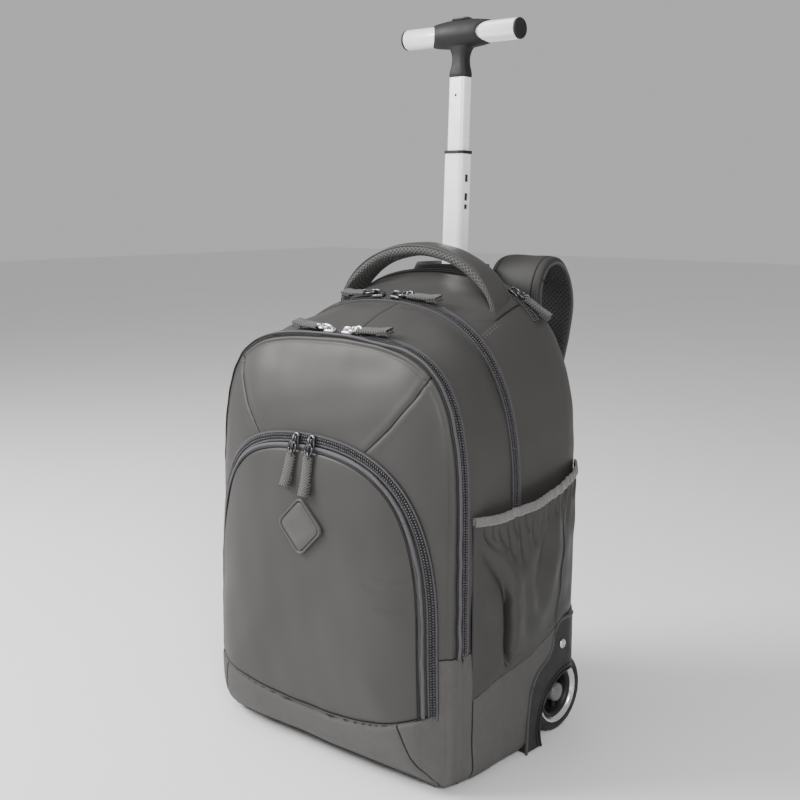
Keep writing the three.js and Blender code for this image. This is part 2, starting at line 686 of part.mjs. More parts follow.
function rim() {
  const [inner, outer, half] = [rimRadius - RIM_DEPTH, rimRadius, WHEEL_WIDTH / 2];
  return turnedAboutAxle([
    [inner, -0.7 * half],
    [outer, -0.9 * half],
    [outer, 0.9 * half],
    [inner + 0.3 * RIM_DEPTH, 0.9 * half],
    [inner, 0.6 * half],
    [inner, -0.7 * half],
  ]);
}

// Five spokes between the boss and the hub's own ring.
function hub() {
  const [boss, spokeEnd, half] = [2.6 * AXLE_RADIUS, 0.8 * hubRadius, WHEEL_WIDTH / 2];
  const disc = aboutAxle(hubRadius, wheelMiddleX - 0.5 * half, wheelMiddleX + 0.4 * half, 36);
  const cap = aboutAxle(boss, wheelMiddleX - 0.9 * half, wheelMiddleX + 0.95 * half, 24);
  const windows = [];
  const spokes = 5;
  for (let i = 0; i < spokes; i++) {
    const [from, to] = [(2 * Math.PI * (i + 0.14)) / spokes, (2 * Math.PI * (i + 0.86)) / spokes];
    const shape = new THREE.Shape();
    shape.absarc(0, 0, spokeEnd, from, to, false);
    shape.absarc(0, 0, 1.15 * boss, to, from, true);
    shape.closePath();
    const window = sidePrism(shape, wheelMiddleX - WHEEL_WIDTH, wheelMiddleX + WHEEL_WIDTH, 6);
    windows.push(window.translate(0, WHEEL_Y, WHEEL_RADIUS));
  }
  const bore = aboutAxle(AXLE_RADIUS + AXLE_CLEARANCE, wheelMiddleX - WHEEL_WIDTH, boreEndX, 24);
  return cut(joined(disc, cap), ...windows, bore);
}

const axle = aboutAxle(AXLE_RADIUS, axleFootX + GAP, boreEndX - 0.5, 24);
const boltZ = 0.8 * HOUSING_TOP;
const boltY = WHEEL_Y - 0.17 * housingDepthAhead;
const boltFootX = housingOuterX + GAP;
const bolt = discAcross(RIVET_RADIUS, boltY, boltZ, boltFootX, boltFootX + RIVET_HEIGHT, 20);

addPiece('base_plate', basePlate(), finishes.blackPlastic);
addPair('wheel_housing', wheelHousing(), finishes.blackPlastic);
addPair('housing_rivet', bolt, finishes.satinAluminium);
addPair('wheel_axle', axle, finishes.gunmetal);
addPair('tyre', tyre(), finishes.tyreRubber);
addPair('wheel_rim', rim(), finishes.satinAluminium);
addPair('wheel_hub', hub(), finishes.blackPlastic);

// Telescopic mast
const sleeveFoot = -(BODY_HEIGHT - BODY_FLOOR - CLOTH_WALL - 2) / Math.cos(MAST_LEAN);
const sleeveHead = collarTop - 4;

function collar() {
  const body = mastPlug(SLEEVE, COLLAR_MARGIN, collarBottom + GAP, collarTop);
  const sleeveSeat = mastPlug(SLEEVE, GAP, collarBottom - 1, sleeveHead + GAP);
  const throat = mastPlug(LOWER_TUBE, 0.5, collarBottom - 1, collarTop + 1);
  return cut(body, sleeveSeat, throat);
}

// Latch slots on the lower tube's right side, as distances below its top.
const latchSlots = [
  { below: 22, height: 8 },
  { below: 42, height: 8 },
  { below: 54, height: 5 },
];

function lowerTube() {
  const right = LOWER_TUBE.width / 2;
  const slots = latchSlots.map(({ below, height }) =>
    block(right - 2 * LOWER_TUBE.wall, right + 1, -3, 3, LOWER_TOP - below - height, LOWER_TOP - below),
  );
  return cut(mastTube(LOWER_TUBE, LOWER_TOP - LOWER_LENGTH, LOWER_TOP), ...slots);
}

function upperTube() {
  const front = -UPPER_TUBE.depth / 2;
  const pinHole = new THREE.CylinderGeometry(PIN_RADIUS, PIN_RADIUS, 3 * UPPER_TUBE.wall, 12);
  const tube = mastTube(UPPER_TUBE, UPPER_TOP - UPPER_LENGTH, UPPER_TOP);
  return cut(tube, pinHole.translate(0, front, UPPER_TOP - PIN_DROP));
}

const ring = cut(
  mastPlug(LOWER_TUBE, 1, LOWER_TOP + GAP, LOWER_TOP + GAP + RING_THICK),
  mastPlug(UPPER_TUBE, 0.4, LOWER_TOP - 1, LOWER_TOP + RING_THICK + 2),
);

// T-shaped grip: a moulded saddle round a straight bar, with a release button on top.
const barZ = UPPER_TOP + BAR_RISE;
const barAcross = (radius, fromX, toX, segments = 32) => discAcross(radius, 0, barZ, fromX, toX, segments);

function saddle() {
  const bands = [-1, -0.85, -0.6, -0.3, 0, 0.3, 0.6, 0.85, 1];
  const around = 24;
  const spindle = loft(
    bands.map((share) => {
      const rise = Math.cos((share * Math.PI) / 2) ** 0.7;
      const swell = BAR_RADIUS + 1 + (SADDLE_RADIUS - BAR_RADIUS - 1) * rise;
      return Array.from({ length: around }, (_, i) => {
        const angle = (2 * Math.PI * i) / around;
        return [share * SADDLE_HALF, swell * Math.cos(angle), barZ + swell * Math.sin(angle)];
      });
    }),
  );
  const neckRows = [
    { up: 0, wide: 1.0, deep: 1.0 },
    { up: 0.12, wide: 0.98, deep: 1.0 },
    { up: 0.35, wide: 0.8, deep: 0.9 },
    { up: 0.55, wide: 0.82, deep: 0.9 },
    { up: 0.72, wide: 1.15, deep: 1.05 },
    { up: 0.86, wide: 1.9, deep: 1.15 },
    { up: 1.0, wide: 2.3, deep: 1.15 },
  ];
  const neck = loft(
    neckRows.map(({ up, wide, deep }) => {
      const corner = UPPER_TUBE.corner;
      const section = roundedRectangle((UPPER_TUBE.width + 2) * wide, (UPPER_TUBE.depth + 2) * deep, corner);
      const rise = UPPER_TOP + GAP + up * (BAR_RISE - 4);
      return section.getSpacedPoints(around).slice(0, around).map((p) => [p.x, p.y, rise]);
    }),
  );
  const well = buttonPlug(GAP + 0.1, SADDLE_RADIUS - BUTTON_SUNK - BUTTON_TRAVEL - 0.4, SADDLE_RADIUS + 4);
  return cut(joined(spindle, neck), barAcross(BAR_RADIUS + GAP, -SADDLE_HALF - 2, SADDLE_HALF + 2), well);
}

function buttonPlug(grow, fromRise, toRise) {
  const corner = BUTTON_WIDTH / 2 - 0.5;
  const shape = roundedRectangle(BUTTON_LENGTH + 2 * grow, BUTTON_WIDTH + 2 * grow, corner + grow);
  return uprightPrism(shape, barZ + fromRise, barZ + toRise, 6);
}

const barHalf = BAR_LENGTH / 2;
const bar = cut(
  barAcross(BAR_RADIUS, -barHalf, barHalf),
  barAcross(BAR_RADIUS - BAR_WALL, -barHalf - 1, barHalf + 1),
);
const barCap = joined(
  barAcross(BAR_RADIUS, barHalf + GAP, barHalf + GAP + BAR_CAP),
  barAcross(BAR_RADIUS - BAR_WALL - GAP, barHalf - 8, barHalf + GAP + 1),
);

addPiece('mast_sleeve', mastTube(SLEEVE, sleeveFoot, sleeveHead), finishes.satinAluminium, mast);
addPiece('mast_collar', collar(), finishes.blackPlastic, mast);
addPiece('mast_lower_tube', lowerTube(), finishes.satinAluminium, mast);
addPiece('mast_ring', ring, finishes.blackPlastic, mast);
addPiece('mast_upper_tube', upperTube(), finishes.satinAluminium, mast);
addPiece('grip_saddle', saddle(), finishes.blackPlastic, mast);
addPiece('grip_bar', bar, finishes.satinAluminium, mast);
addPiece('grip_cap_right', barCap, finishes.blackPlastic, mast);
addPiece('grip_cap_left', mirrored(barCap), finishes.blackPlastic, mast);
const button = buttonPlug(0, SADDLE_RADIUS - BUTTON_SUNK, SADDLE_RADIUS + BUTTON_PROUD);
addPiece('grip_button', button, finishes.gunmetal, mast);

// Straps and handle
// A band with soft round edges swept along a line in one plane. Each station has a place, the direction
// across the band and the direction out of its face.
function bandSection(width, thick) {
  const round = 0.5 * thick;
  const flat = width / 2 - round;
  const shape = [];
  for (let i = 0; i <= 4; i++) {
    const angle = -Math.PI / 2 + (i * Math.PI) / 4;
    shape.push([flat + round * Math.cos(angle), round * Math.sin(angle)]);
  }
  return [...shape, ...shape.map(([a, b]) => [-a, -b])];
}

function sweptBand(stations, width, thick) {
  return loft(
    stations.map(({ place, across, outward, wide = 1, deep = 1 }) =>
      bandSection(width * wide, thick * deep).map(([a, b]) =>
        place.map((value, axis) => value + a * across[axis] + b * outward[axis]),
      ),
    ),
  );
}

// Stations of a band whose line lies in the Y-Z plane at one X, from a smooth curve through chosen points.
function sideLine(x, points, steps) {
  const through = points.map(([y, z]) => new THREE.Vector3(x, y, z));
  const curve = new THREE.CatmullRomCurve3(through, false, 'centripetal');
  return Array.from({ length: steps + 1 }, (_, i) => {
    const place = curve.getPointAt(i / steps);
    const way = curve.getTangentAt(i / steps);
    return { place: place.toArray(), across: [1, 0, 0], outward: [0, way.z, -way.y] };
  });
}

function carryHandle() {
  const steps = 28;
  const rootZ = bodyTopAt(HANDLE_HALF_SPAN, HANDLE_Y) - HANDLE_THICK;
  const archRise = bodySectionAt(HANDLE_Y).top + HANDLE_RISE - rootZ - HANDLE_THICK;
  const point = (i) => {
    const angle = (Math.PI * i) / steps;
    return [-HANDLE_HALF_SPAN * Math.cos(angle), rootZ + archRise * Math.sin(angle) ** 1.1];
  };
  const stations = Array.from({ length: steps + 1 }, (_, i) => {
    const [x, z] = point(i);
    const [ax, az] = point(Math.max(0, i - 1));
    const [bx, bz] = point(Math.min(steps, i + 1));
    const length = Math.hypot(bx - ax, bz - az);
    const outward = [-(bz - az) / length, 0, (bx - ax) / length];
    return { place: [x, HANDLE_Y, z], across: [0, 1, 0], outward };
  });
  return cut(sweptBand(stations, HANDLE_WIDTH, HANDLE_THICK), bodySolid(MAIN_ZIP_Y + 1, BACK_Y, GAP));
}

// Lines of the shoulder straps seen from the side: back is the distance behind the back panel as a share
// of the body's rear depth, up a share of its height. The right strap springs up into a loop; the left lies
// flat.
const rightStrapLine = [
  { back: 0.02, up: 0.845 },
  { back: 0.0, up: 0.91 },
  { back: 0.01, up: 0.97 },
  { back: 0.12, up: 1.015 },
  { back: 0.29, up: 1.022 },
  { back: 0.43, up: 0.99 },
  { back: 0.5, up: 0.93 },
  { back: 0.46, up: 0.86 },
  { back: 0.35, up: 0.78 },
  { back: 0.25, up: 0.69 },
  { back: 0.19, up: 0.6 },
  { back: 0.17, up: 0.53 },
  { back: 0.165, up: 0.46 },
];
const leftStrapLine = [
  { back: 0.02, up: 0.845 },
  { back: 0.02, up: 0.9 },
  { back: 0.08, up: 0.94 },
  { back: 0.17, up: 0.93 },
  { back: 0.22, up: 0.87 },
  { back: 0.22, up: 0.78 },
  { back: 0.19, up: 0.67 },
  { back: 0.17, up: 0.56 },
  { back: 0.165, up: 0.46 },
];
const strapPoint = ({ back, up }) => [BACK_Y + back * REAR_DEPTH, up * BODY_HEIGHT];

const collarReach = 60;
const nearBody = [
  bodySolid(MAIN_ZIP_Y + 1, BACK_Y, GAP),
  inBodyFrame(mastPlug(SLEEVE, COLLAR_MARGIN + GAP, -collarReach, collarReach)),
];

function shoulderStrap(side, line) {
  const steps = 30;
  const stations = sideLine(side * STRAP_X, line.map(strapPoint), steps);
  stations.forEach((station, i) => {
    station.wide = 1 - 0.1 * Math.max(0, i - steps + 5);
    station.deep = 1 - 0.12 * Math.max(0, i - steps + 4);
  });
  return cut(sweptBand(stations, STRAP_WIDTH, STRAP_THICK), ...nearBody);
}

// Webbing from the foot of a strap, through its buckle, to the back panel above the wheel housing.
const strapFoot = strapPoint(rightStrapLine.at(-1));
const buckleZ = strapFoot[1] - BUCKLE.drop;
const anchorZ = HOUSING_TOP + ANCHOR_RISE;

function strapWebbing() {
  const clear = GAP + WEBBING_THICK / 2;
  const [y, topZ] = strapFoot;
  const belowZ = buckleZ - 0.54 * BUCKLE.height;
  const line = [
    [y, topZ - GAP],
    [y, buckleZ + 0.27 * BUCKLE.height],
    [y, buckleZ - 0.27 * BUCKLE.height],
    [y, belowZ],
    [(y + BACK_Y) / 2 + WEBBING_THICK, (belowZ + anchorZ) / 2],
    [BACK_Y + clear, anchorZ],
    [BACK_Y + clear, anchorZ - ANCHOR_RISE / 2],
  ];
  const band = sweptBand(sideLine(STRAP_X, line, 14), WEBBING_WIDTH, WEBBING_THICK);
  return cut(band, bodySolid(MAIN_ZIP_Y + 1, BACK_Y, GAP));
}

// A ladder buckle: a flat frame that the webbing runs through.
function strapBuckle() {
  const { margin, height, thick, rung, corner } = BUCKLE;
  const side = margin - 1;
  const frame = roundedRectangle(WEBBING_WIDTH + 2 * margin, height, corner);
  const [insideWidth, insideHeight] = [WEBBING_WIDTH + 2 * (margin - side), height - 2 * side];
  frame.holes.push(roundedRectangle(insideWidth, insideHeight, 1.5, new THREE.Path()));
  const flat = new THREE.ExtrudeGeometry(frame, { depth: thick, bevelEnabled: false, curveSegments: 4 });
  const rungY = strapFoot[0] + WEBBING_THICK / 2 + 2 * GAP;
  flat.rotateX(Math.PI / 2).translate(STRAP_X, rungY + thick, buckleZ);
  const halfInside = WEBBING_WIDTH / 2 + 2;
  return joined(
    flat,
    block(
      STRAP_X - halfInside, STRAP_X + halfInside,
      rungY, rungY + thick,
      buckleZ - rung / 2, buckleZ + rung / 2,
    ),
  );
}

function backPad() {
  const height = PAD_HIGH - PAD_LOW;
  const swell = (share) => (share < 1 ? 0.55 + 0.45 * (1 - share ** 4) ** 0.5 : 0.35);
  const face = (share) => BACK_Y + GAP + PAD_THICK * swell(share);
  const middleZ = (PAD_LOW + PAD_HIGH) / 2;
  const around = 32;
  const ringAt = (share, y) =>
    roundedRectangle(2 * PAD_HALF_WIDTH * share, height * share, PAD_CORNER * share)
      .getSpacedPoints(around)
      .slice(0, around)
      .map((p) => [STRAP_X + p.x, y, middleZ + p.y]);
  const front = [1, 0.5].map((share) => ringAt(share, BACK_Y + GAP)).reverse();
  const back = [1, 0.97, 0.9, 0.7, 0.4].map((share) => ringAt(share, face(share)));
  return loft([...front, ...back]);
}

addPiece('carry_handle', carryHandle(), finishes.airMesh);
addPiece('shoulder_strap_right', shoulderStrap(1, rightStrapLine), finishes.coatedCloth);
addPiece('shoulder_strap_left', shoulderStrap(-1, leftStrapLine), finishes.coatedCloth);
addPair('strap_webbing', strapWebbing(), finishes.elastic);
addPair('strap_buckle', strapBuckle(), finishes.blackPlastic);
addPair('back_pad', backPad(), finishes.airMesh);

// Zip sliders and tabs
// A frame on a surface: X along the tab, Z out of the surface.
function surfaceFrame(place, along, outward) {
  const x = new THREE.Vector3(...along).normalize();
  const y = new THREE.Vector3(...outward).cross(x).normalize();
  return new THREE.Matrix4().makeBasis(x, y, x.clone().cross(y)).setPosition(...place);
}

function sliderSolid() {
  const { length, width, height, ringRadius, wire } = SLIDER;
  const wedge = new THREE.Shape();
  wedge.moveTo(-length / 2, -0.35 * width);
  wedge.lineTo(0.15 * length, -width / 2);
  wedge.lineTo(length / 2, -0.3 * width);
  wedge.lineTo(length / 2, 0.3 * width);
  wedge.lineTo(0.15 * length, width / 2);
  wedge.lineTo(-length / 2, 0.35 * width);
  wedge.closePath();
  const shell = uprightPrism(wedge, 0, 0.6 * height);
  const bridge = block(-0.25 * length, 0.42 * length, -1.2, 1.2, 0.5 * height, height);
  const loop = new THREE.TorusGeometry(ringRadius, wire, 5, 10);
  return joined(shell, bridge, loop.translate(0.4 * length + ringRadius - wire, 0, 0.85 * height));
}

const tabStart = 0.4 * SLIDER.length + 2 * SLIDER.ringRadius + GAP;

// A slider on a surface with its fabric tab laid from the ring to a far end.
function addPull(name, place, outward, tabEnd) {
  const along = tabEnd.map((value, axis) => value - place[axis]);
  const reach = Math.hypot(...along);
  const at = surfaceFrame(place, along, outward);
  addPiece(`slider_${name}`, sliderSolid().applyMatrix4(at), finishes.gunmetal);
  const tab = roundedRectangle(reach - tabStart, TAB_WIDTH, 1.5);
  const lay = 0.85 * SLIDER.height - TAB_THICK / 2;
  const solid = uprightPrism(tab, lay, lay + TAB_THICK, 2).translate((reach + tabStart) / 2, 0, 0);
  addPiece(`tab_${name}`, solid.applyMatrix4(at), finishes.elastic);
}

// Place on a body zipper above a given X, on top of its tape.
const onBodyZip = (x, y) => [x, y, bodyTopAt(x, y) + 5 * GAP + ZIP_THICK];
const pulls = [
  { name: 'front_1', x: -9, way: -1, y: FRONT_ZIP_Y },
  { name: 'front_2', x: 16, way: 1, y: FRONT_ZIP_Y },
  { name: 'main_1', x: -13, way: -1, y: MAIN_ZIP_Y },
  { name: 'main_2', x: 13, way: 1, y: MAIN_ZIP_Y },
];
pulls.forEach(({ name, x, way, y }) => {
  const [ahead, rise] = [x + way * TAB_REACH, 2];
  const start = onBodyZip(x, y + 1);
  const end = onBodyZip(ahead, y + 4);
  end[2] = Math.max(end[2], start[2] - 6) + rise;
  addPull(name, start, [0, -0.25, 1], end);
});

// The laptop compartment's pull hangs down the right shoulder.
const laptopStart = onBodyZip(0.61 * BODY_HALF_WIDTH, laptopZipY);
const laptopEnd = onBodyZip(0.81 * BODY_HALF_WIDTH, laptopZipY + ZIP_WIDTH);
laptopStart[2] += 1;
laptopEnd[2] += 6;
addPull('laptop', laptopStart, [0.6, 0, 0.8], laptopEnd);

const pocketZipZ = POCKET_TOP + GAP + ZIP_WIDTH / 2 - 1;
const pocketPulls = [
  { name: 'pocket_1', x: -13, lean: -3, reach: 0.88 * TAB_REACH },
  { name: 'pocket_2', x: 9, lean: 2, reach: TAB_REACH },
];
pocketPulls.forEach(({ name, x, lean, reach }) => {
  const place = [x, seatOnFace(x, pocketZipZ) - 2 * GAP - ZIP_THICK, pocketZipZ];
  const lowZ = pocketZipZ - reach;
  const clearOfPocket = pocketFaceY(x + lean, lowZ) - 2 * GAP;
  addPull(name, place, [0, -1, 0.12], [x + lean, clearOfPocket, lowZ]);
});

// Badge on the pocket: a diamond with a raised rim and a plain raised diamond in the middle.
function badgeOutline(inset) {
  const { halfWidth, halfHeight, corner } = BADGE;
  const [w, h, c] = [halfWidth - inset, halfHeight - inset, corner];
  const shape = new THREE.Shape();
  const cornersOf = [[w, 0], [0, h], [-w, 0], [0, -h]];
  cornersOf.forEach(([x, z], i) => {
    const [px, pz] = cornersOf[(i + 3) % 4];
    const [nx, nz] = cornersOf[(i + 1) % 4];
    const edge = Math.hypot(w, h);
    const [inX, inZ] = [x + ((px - x) * c) / edge, z + ((pz - z) * c) / edge];
    const [outX, outZ] = [x + ((nx - x) * c) / edge, z + ((nz - z) * c) / edge];
    if (i === 0) shape.moveTo(inX, inZ);
    else shape.lineTo(inX, inZ);
    shape.quadraticCurveTo(x, z, outX, outZ);
  });
  shape.closePath();
  return shape;
}

function badge() {
  const { thick, rim: rimWidth, groove, x, z } = BADGE;
  const plate = uprightPrism(badgeOutline(0), 0, thick);
  const trench = badgeOutline(rimWidth);
  trench.holes.push(new THREE.Path(badgeOutline(2 * rimWidth + 1).getPoints(4)));
  const cutPlate = cut(plate, uprightPrism(trench, thick - groove, thick + 1));
  const seatY = Math.min(...[-1, 0, 1].map((k) => pocketFaceY(x, z + k * 0.9 * BADGE.halfHeight))) - GAP;
  return cutPlate.applyMatrix4(surfaceFrame([x, seatY, z], [1, 0, 0], [0, -1, 0]));
}

addPiece('badge', badge(), finishes.badgeRubber);

export default backpack;
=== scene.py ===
# A wheeled backpack: three sewn compartments of coated cloth one behind the other, an outer front pocket,
# two elastic side pockets, shoulder straps, a carry handle, and a telescopic mast with a T-shaped grip.
# Lengths are in millimetres until a mesh is made; X is to the right seen from the front, Y to the back,
# Z up, and the origin is the middle of the base plate's underside.
import math

import bmesh
import bpy
import numpy as np
from mathutils import Matrix, Vector


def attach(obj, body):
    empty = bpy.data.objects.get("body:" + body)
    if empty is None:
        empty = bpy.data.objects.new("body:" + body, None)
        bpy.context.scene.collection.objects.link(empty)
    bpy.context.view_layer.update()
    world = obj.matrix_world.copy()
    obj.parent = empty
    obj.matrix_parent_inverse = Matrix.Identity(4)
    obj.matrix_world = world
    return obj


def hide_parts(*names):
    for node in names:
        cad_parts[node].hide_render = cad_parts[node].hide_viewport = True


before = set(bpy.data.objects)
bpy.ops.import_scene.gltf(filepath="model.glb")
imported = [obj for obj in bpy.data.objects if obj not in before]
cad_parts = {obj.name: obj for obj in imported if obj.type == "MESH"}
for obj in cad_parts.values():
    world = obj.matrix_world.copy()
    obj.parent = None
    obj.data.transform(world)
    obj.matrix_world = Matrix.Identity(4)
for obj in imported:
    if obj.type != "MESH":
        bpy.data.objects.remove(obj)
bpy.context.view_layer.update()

# The view and the light. The camera stands where the photograph was taken from, above the bag's right front
# corner; a large soft lamp from the upper left lights the face, and a white room fills the rest.
MM = 0.001

camera = bpy.data.objects.new("camera", bpy.data.cameras.new("camera"))
camera.data.lens = 53.9
camera.data.sensor_width = 36.0
camera.location = (0.8323, -0.9489, 0.5664)
camera.rotation_euler = (math.radians(90 - 9.6), 0.0, math.radians(41.4))
bpy.context.scene.collection.objects.link(camera)
bpy.context.scene.camera = camera


def soft_lamp(name, place, aim, size, power):
    lamp = bpy.data.objects.new(name, bpy.data.lights.new(name, "AREA"))
    lamp.data.shape = "DISK"
    lamp.data.size = size
    lamp.data.energy = power
    lamp.location = place
    lamp.rotation_euler = (Vector(place) - Vector(aim)).to_track_quat("Z", "Y").to_euler()
    bpy.context.scene.collection.objects.link(lamp)


soft_lamp("key_lamp", (-1.3, -1.15, 1.55), (0, 0, 0.34), 1.1, 76)
soft_lamp("top_lamp", (-0.3, -0.3, 2.3), (0, 0, 0.3), 1.2, 12)
soft_lamp("side_lamp", (1.5, -1.3, 1.3), (0.1, 0, 0.25), 0.5, 32)
world = bpy.data.worlds.new("white_room")
world.use_nodes = True
world.node_tree.nodes["Background"].inputs["Color"].default_value = (1.0, 1.0, 1.0, 1.0)
world.node_tree.nodes["Background"].inputs["Strength"].default_value = 0.5
bpy.context.scene.world = world


class Value:
    """A node's output socket. Arithmetic on it adds Math nodes to its finish."""

    def __init__(self, finish, socket):
        self.finish = finish
        self.socket = socket

    def sum_of(self, operation, *values):
        return self.finish.node("ShaderNodeMath", {"operation": operation}, dict(enumerate(values)))

    def __add__(self, other):
        return self.sum_of("ADD", self, other)

    def __radd__(self, other):
        return self.sum_of("ADD", other, self)

    def __sub__(self, other):
        return self.sum_of("SUBTRACT", self, other)

    def __rsub__(self, other):
        return self.sum_of("SUBTRACT", other, self)

    def __mul__(self, other):
        return self.sum_of("MULTIPLY", self, other)

    def __rmul__(self, other):
        return self.sum_of("MULTIPLY", other, self)

    def __truediv__(self, other):
        return self.sum_of("DIVIDE", self, other)

    def __pow__(self, other):
        return self.sum_of("POWER", self, other)

    def __abs__(self):
        return self.sum_of("ABSOLUTE", self)

    def wave(self):
        return self.sum_of("SINE", self)

    def larger(self, other):
        return self.sum_of("MAXIMUM", self, other)

    def between(self, low, high, at_low=0.0, at_high=1.0):
        """Goes smoothly from at_low to at_high as the value goes from low to high."""
        settings = {"interpolation_type": "SMOOTHSTEP"}
        ends = {1: low, 2: high, 3: at_low, 4: at_high}
        return self.finish.node("ShaderNodeMapRange", settings, {0: self, **ends})


class Finish:
    """A material: its even values are set on the shader, and what varies is fed to it."""

    def __init__(self, name, colour, roughness, metallic=0.0, **even):
        self.material = bpy.data.materials.new(name)
        self.material.use_nodes = True
        self.tree = self.material.node_tree
        self.shader = self.tree.nodes["Principled BSDF"]
        self.colour = (*colour, 1.0)
        self.feed("Base Color", self.colour)
        self.feed("Roughness", roughness)
        self.feed("Metallic", metallic)
        for socket, value in even.items():
            self.feed(socket.replace("_", " "), value)

    def put(self, socket, value):
        if isinstance(value, Value):
            self.tree.links.new(value.socket, socket)
        else:
            socket.default_value = value

    def feed(self, socket, value):
        self.put(self.shader.inputs[socket], value)

    def node(self, kind, settings, inputs, output=0):
        node = self.tree.nodes.new(kind)
        for setting, value in settings.items():
            setattr(node, setting, value)
        for socket, value in inputs.items():
            self.put(node.inputs[socket], value)
        return Value(self, node.outputs[output])

    def place(self):
        return self.node("ShaderNodeTexCoord", {}, {}, "Object")

    def part_of_place(self, axis):
        return self.node("ShaderNodeSeparateXYZ", {}, {0: self.place()}, axis)

    def attribute(self, name):
        return self.node("ShaderNodeAttribute", {"attribute_name": name}, {}, "Fac")

    def noise(self, size, detail=3.0, roughness=0.55):
        """Cloudy noise whose features are about size millimetres across."""
        inputs = {
            "Vector": self.place(), "Scale": 1.0 / (size * MM), "Detail": detail, "Roughness": roughness
        }
        return self.node("ShaderNodeTexNoise", {}, inputs)

    def blend(self, share, first, second):
        settings = {"data_type": "RGBA"}
        return self.node("ShaderNodeMix", settings, {0: share, 6: first, 7: second}, 2)

    def shade(self, tone):
        """The finish's own colour made darker or lighter: a tone of 0 is black, 1 as it is, 4 the most."""
        black, light = (0.0, 0.0, 0.0, 1.0), tuple(4.0 * part for part in self.colour[:3]) + (1.0,)
        return self.blend(tone * 0.25, black, light)

    def bump(self, height, depth, strength=1.0):
        inputs = {"Height": height, "Distance": depth * MM, "Strength": strength}
        self.feed("Normal", self.node("ShaderNodeBump", {}, inputs))


floor_finish = Finish("pale_floor", (0.86, 0.86, 0.86), 0.7)
floor_finish.feed("Base Color", floor_finish.shade(floor_finish.noise(400.0).between(0.0, 1.0, 0.98, 1.02)))
floor_mesh = bpy.data.meshes.new("floor")
floor_mesh.from_pydata([(-9, -9, 0), (9, -9, 0), (9, 9, 0), (-9, 9, 0)], [], [(0, 1, 2, 3)])
floor_mesh.materials.append(floor_finish.material)
floor = bpy.data.objects.new("floor", floor_mesh)
bpy.context.scene.collection.objects.link(floor)

# Main body. Two compartments lofted from the same family of outlines: panels of smooth coated polyester,
# backed with foam, sewn together inside out, so every edge is a soft roll with its seam pulled in.
BODY_HALF_WIDTH = 165.0
BODY_HEIGHT = 487.0
BODY_FLOOR = 3.4
BODY_CORNER = 17.0
MAIN_ZIP_Y = -23.0
REAR_DEPTH = 128.0
MIDDLE_DEPTH = 77.0
BACK_Y = MAIN_ZIP_Y + REAR_DEPTH
FRONT_ZIP_Y = MAIN_ZIP_Y - MIDDLE_DEPTH
RING_COUNT = 560

# Columns: share of the way from the main zipper back or forward, half width, foot, shoulder and top as
# shares of the width and height, and the two shape values of the shoulder's curve.
body_sections = np.array([
    (-1.00, 0.985, 0.000, 0.550, 0.885, 0.93, 0.74),
    (-0.50, 1.000, 0.000, 0.620, 0.920, 0.79, 0.70),
    (0.00, 1.000, 0.000, 0.567, 0.947, 0.76, 0.62),
    (0.20, 1.000, 0.000, 0.580, 0.962, 0.82, 0.60),
    (0.42, 1.000, 0.000, 0.600, 0.981, 0.86, 0.58),
    (0.64, 1.000, 0.000, 0.610, 1.000, 0.86, 0.56),
    (0.78, 0.990, 0.000, 0.610, 0.996, 0.86, 0.56),
    (0.88, 0.965, 0.008, 0.605, 0.972, 0.86, 0.58),
    (0.95, 0.925, 0.020, 0.600, 0.938, 0.85, 0.60),
    (1.00, 0.860, 0.040, 0.590, 0.890, 0.84, 0.62),
])
section_y = MAIN_ZIP_Y + body_sections[:, 0] * np.where(body_sections[:, 0] < 0, MIDDLE_DEPTH, REAR_DEPTH)


def smooth_between(place, knots, values):
    """A smooth curve through the values at the knots."""
    slopes = np.gradient(values, knots)
    i = np.clip(np.searchsorted(knots, place) - 1, 0, len(knots) - 2)
    span = knots[i + 1] - knots[i]
    t = (place - knots[i]) / span
    start = (1 + 2 * t) * (1 - t) ** 2 * values[i] + t * (1 - t) ** 2 * span * slopes[i]
    return start + t * t * (3 - 2 * t) * values[i + 1] + t * t * (t - 1) * span * slopes[i + 1]


def smoothstep(value, low, high):
    t = np.clip((value - low) / (high - low), 0.0, 1.0)
    return t * t * (3 - 2 * t)


def hump(value, middle, width):
    return np.exp(-(((value - middle) / width) ** 2))


def resample(path, count):
    """Points spaced evenly along a path of points."""
    path = np.asarray(path, float)
    length = np.r_[0, np.cumsum(np.linalg.norm(np.diff(path, axis=0), axis=1))]
    even = np.linspace(0, length[-1], count)
    return np.stack([np.interp(even, length, column) for column in path.T], axis=1)


def bezier(controls, count=160):
    t = np.linspace(0, 1, count)[:, None]
    a, b, c, d = (np.array(point, float) for point in controls)
    return (1 - t) ** 3 * a + 3 * t * (1 - t) ** 2 * b + 3 * t * t * (1 - t) * c + t**3 * d


def outline(half, bottom, corner, shoulder, top, lift, run, grow=0.0, count=RING_COUNT):
    """X and Z of a compartment's outline, from the bottom middle up the right side and down the left."""
    side, low, high, radius = half + grow, bottom - grow, top + grow, corner + grow
    turn = np.linspace(-np.pi / 2, 0, 24)
    foot = np.c_[side - radius + radius * np.cos(turn), low + radius + radius * np.sin(turn)]
    rise = shoulder + lift * (high - shoulder)
    over = bezier([(side, shoulder), (side, rise), (run * side, high), (0.0, high)])
    right = resample(np.r_[[[0.0, low]], foot, over], count // 2 + 1)
    return np.r_[right, right[-2:0:-1] * (-1, 1)]


def body_ring(y, grow=0.0, count=RING_COUNT):
    half, foot, shoulder, top, lift, run = (
        float(smooth_between(y, section_y, column)) for column in body_sections[:, 1:].T
    )
    sizes = (half * BODY_HALF_WIDTH, BODY_FLOOR + foot * BODY_HEIGHT, BODY_CORNER)
    return outline(*sizes, shoulder * BODY_HEIGHT, top * BODY_HEIGHT, lift, run, grow, count)


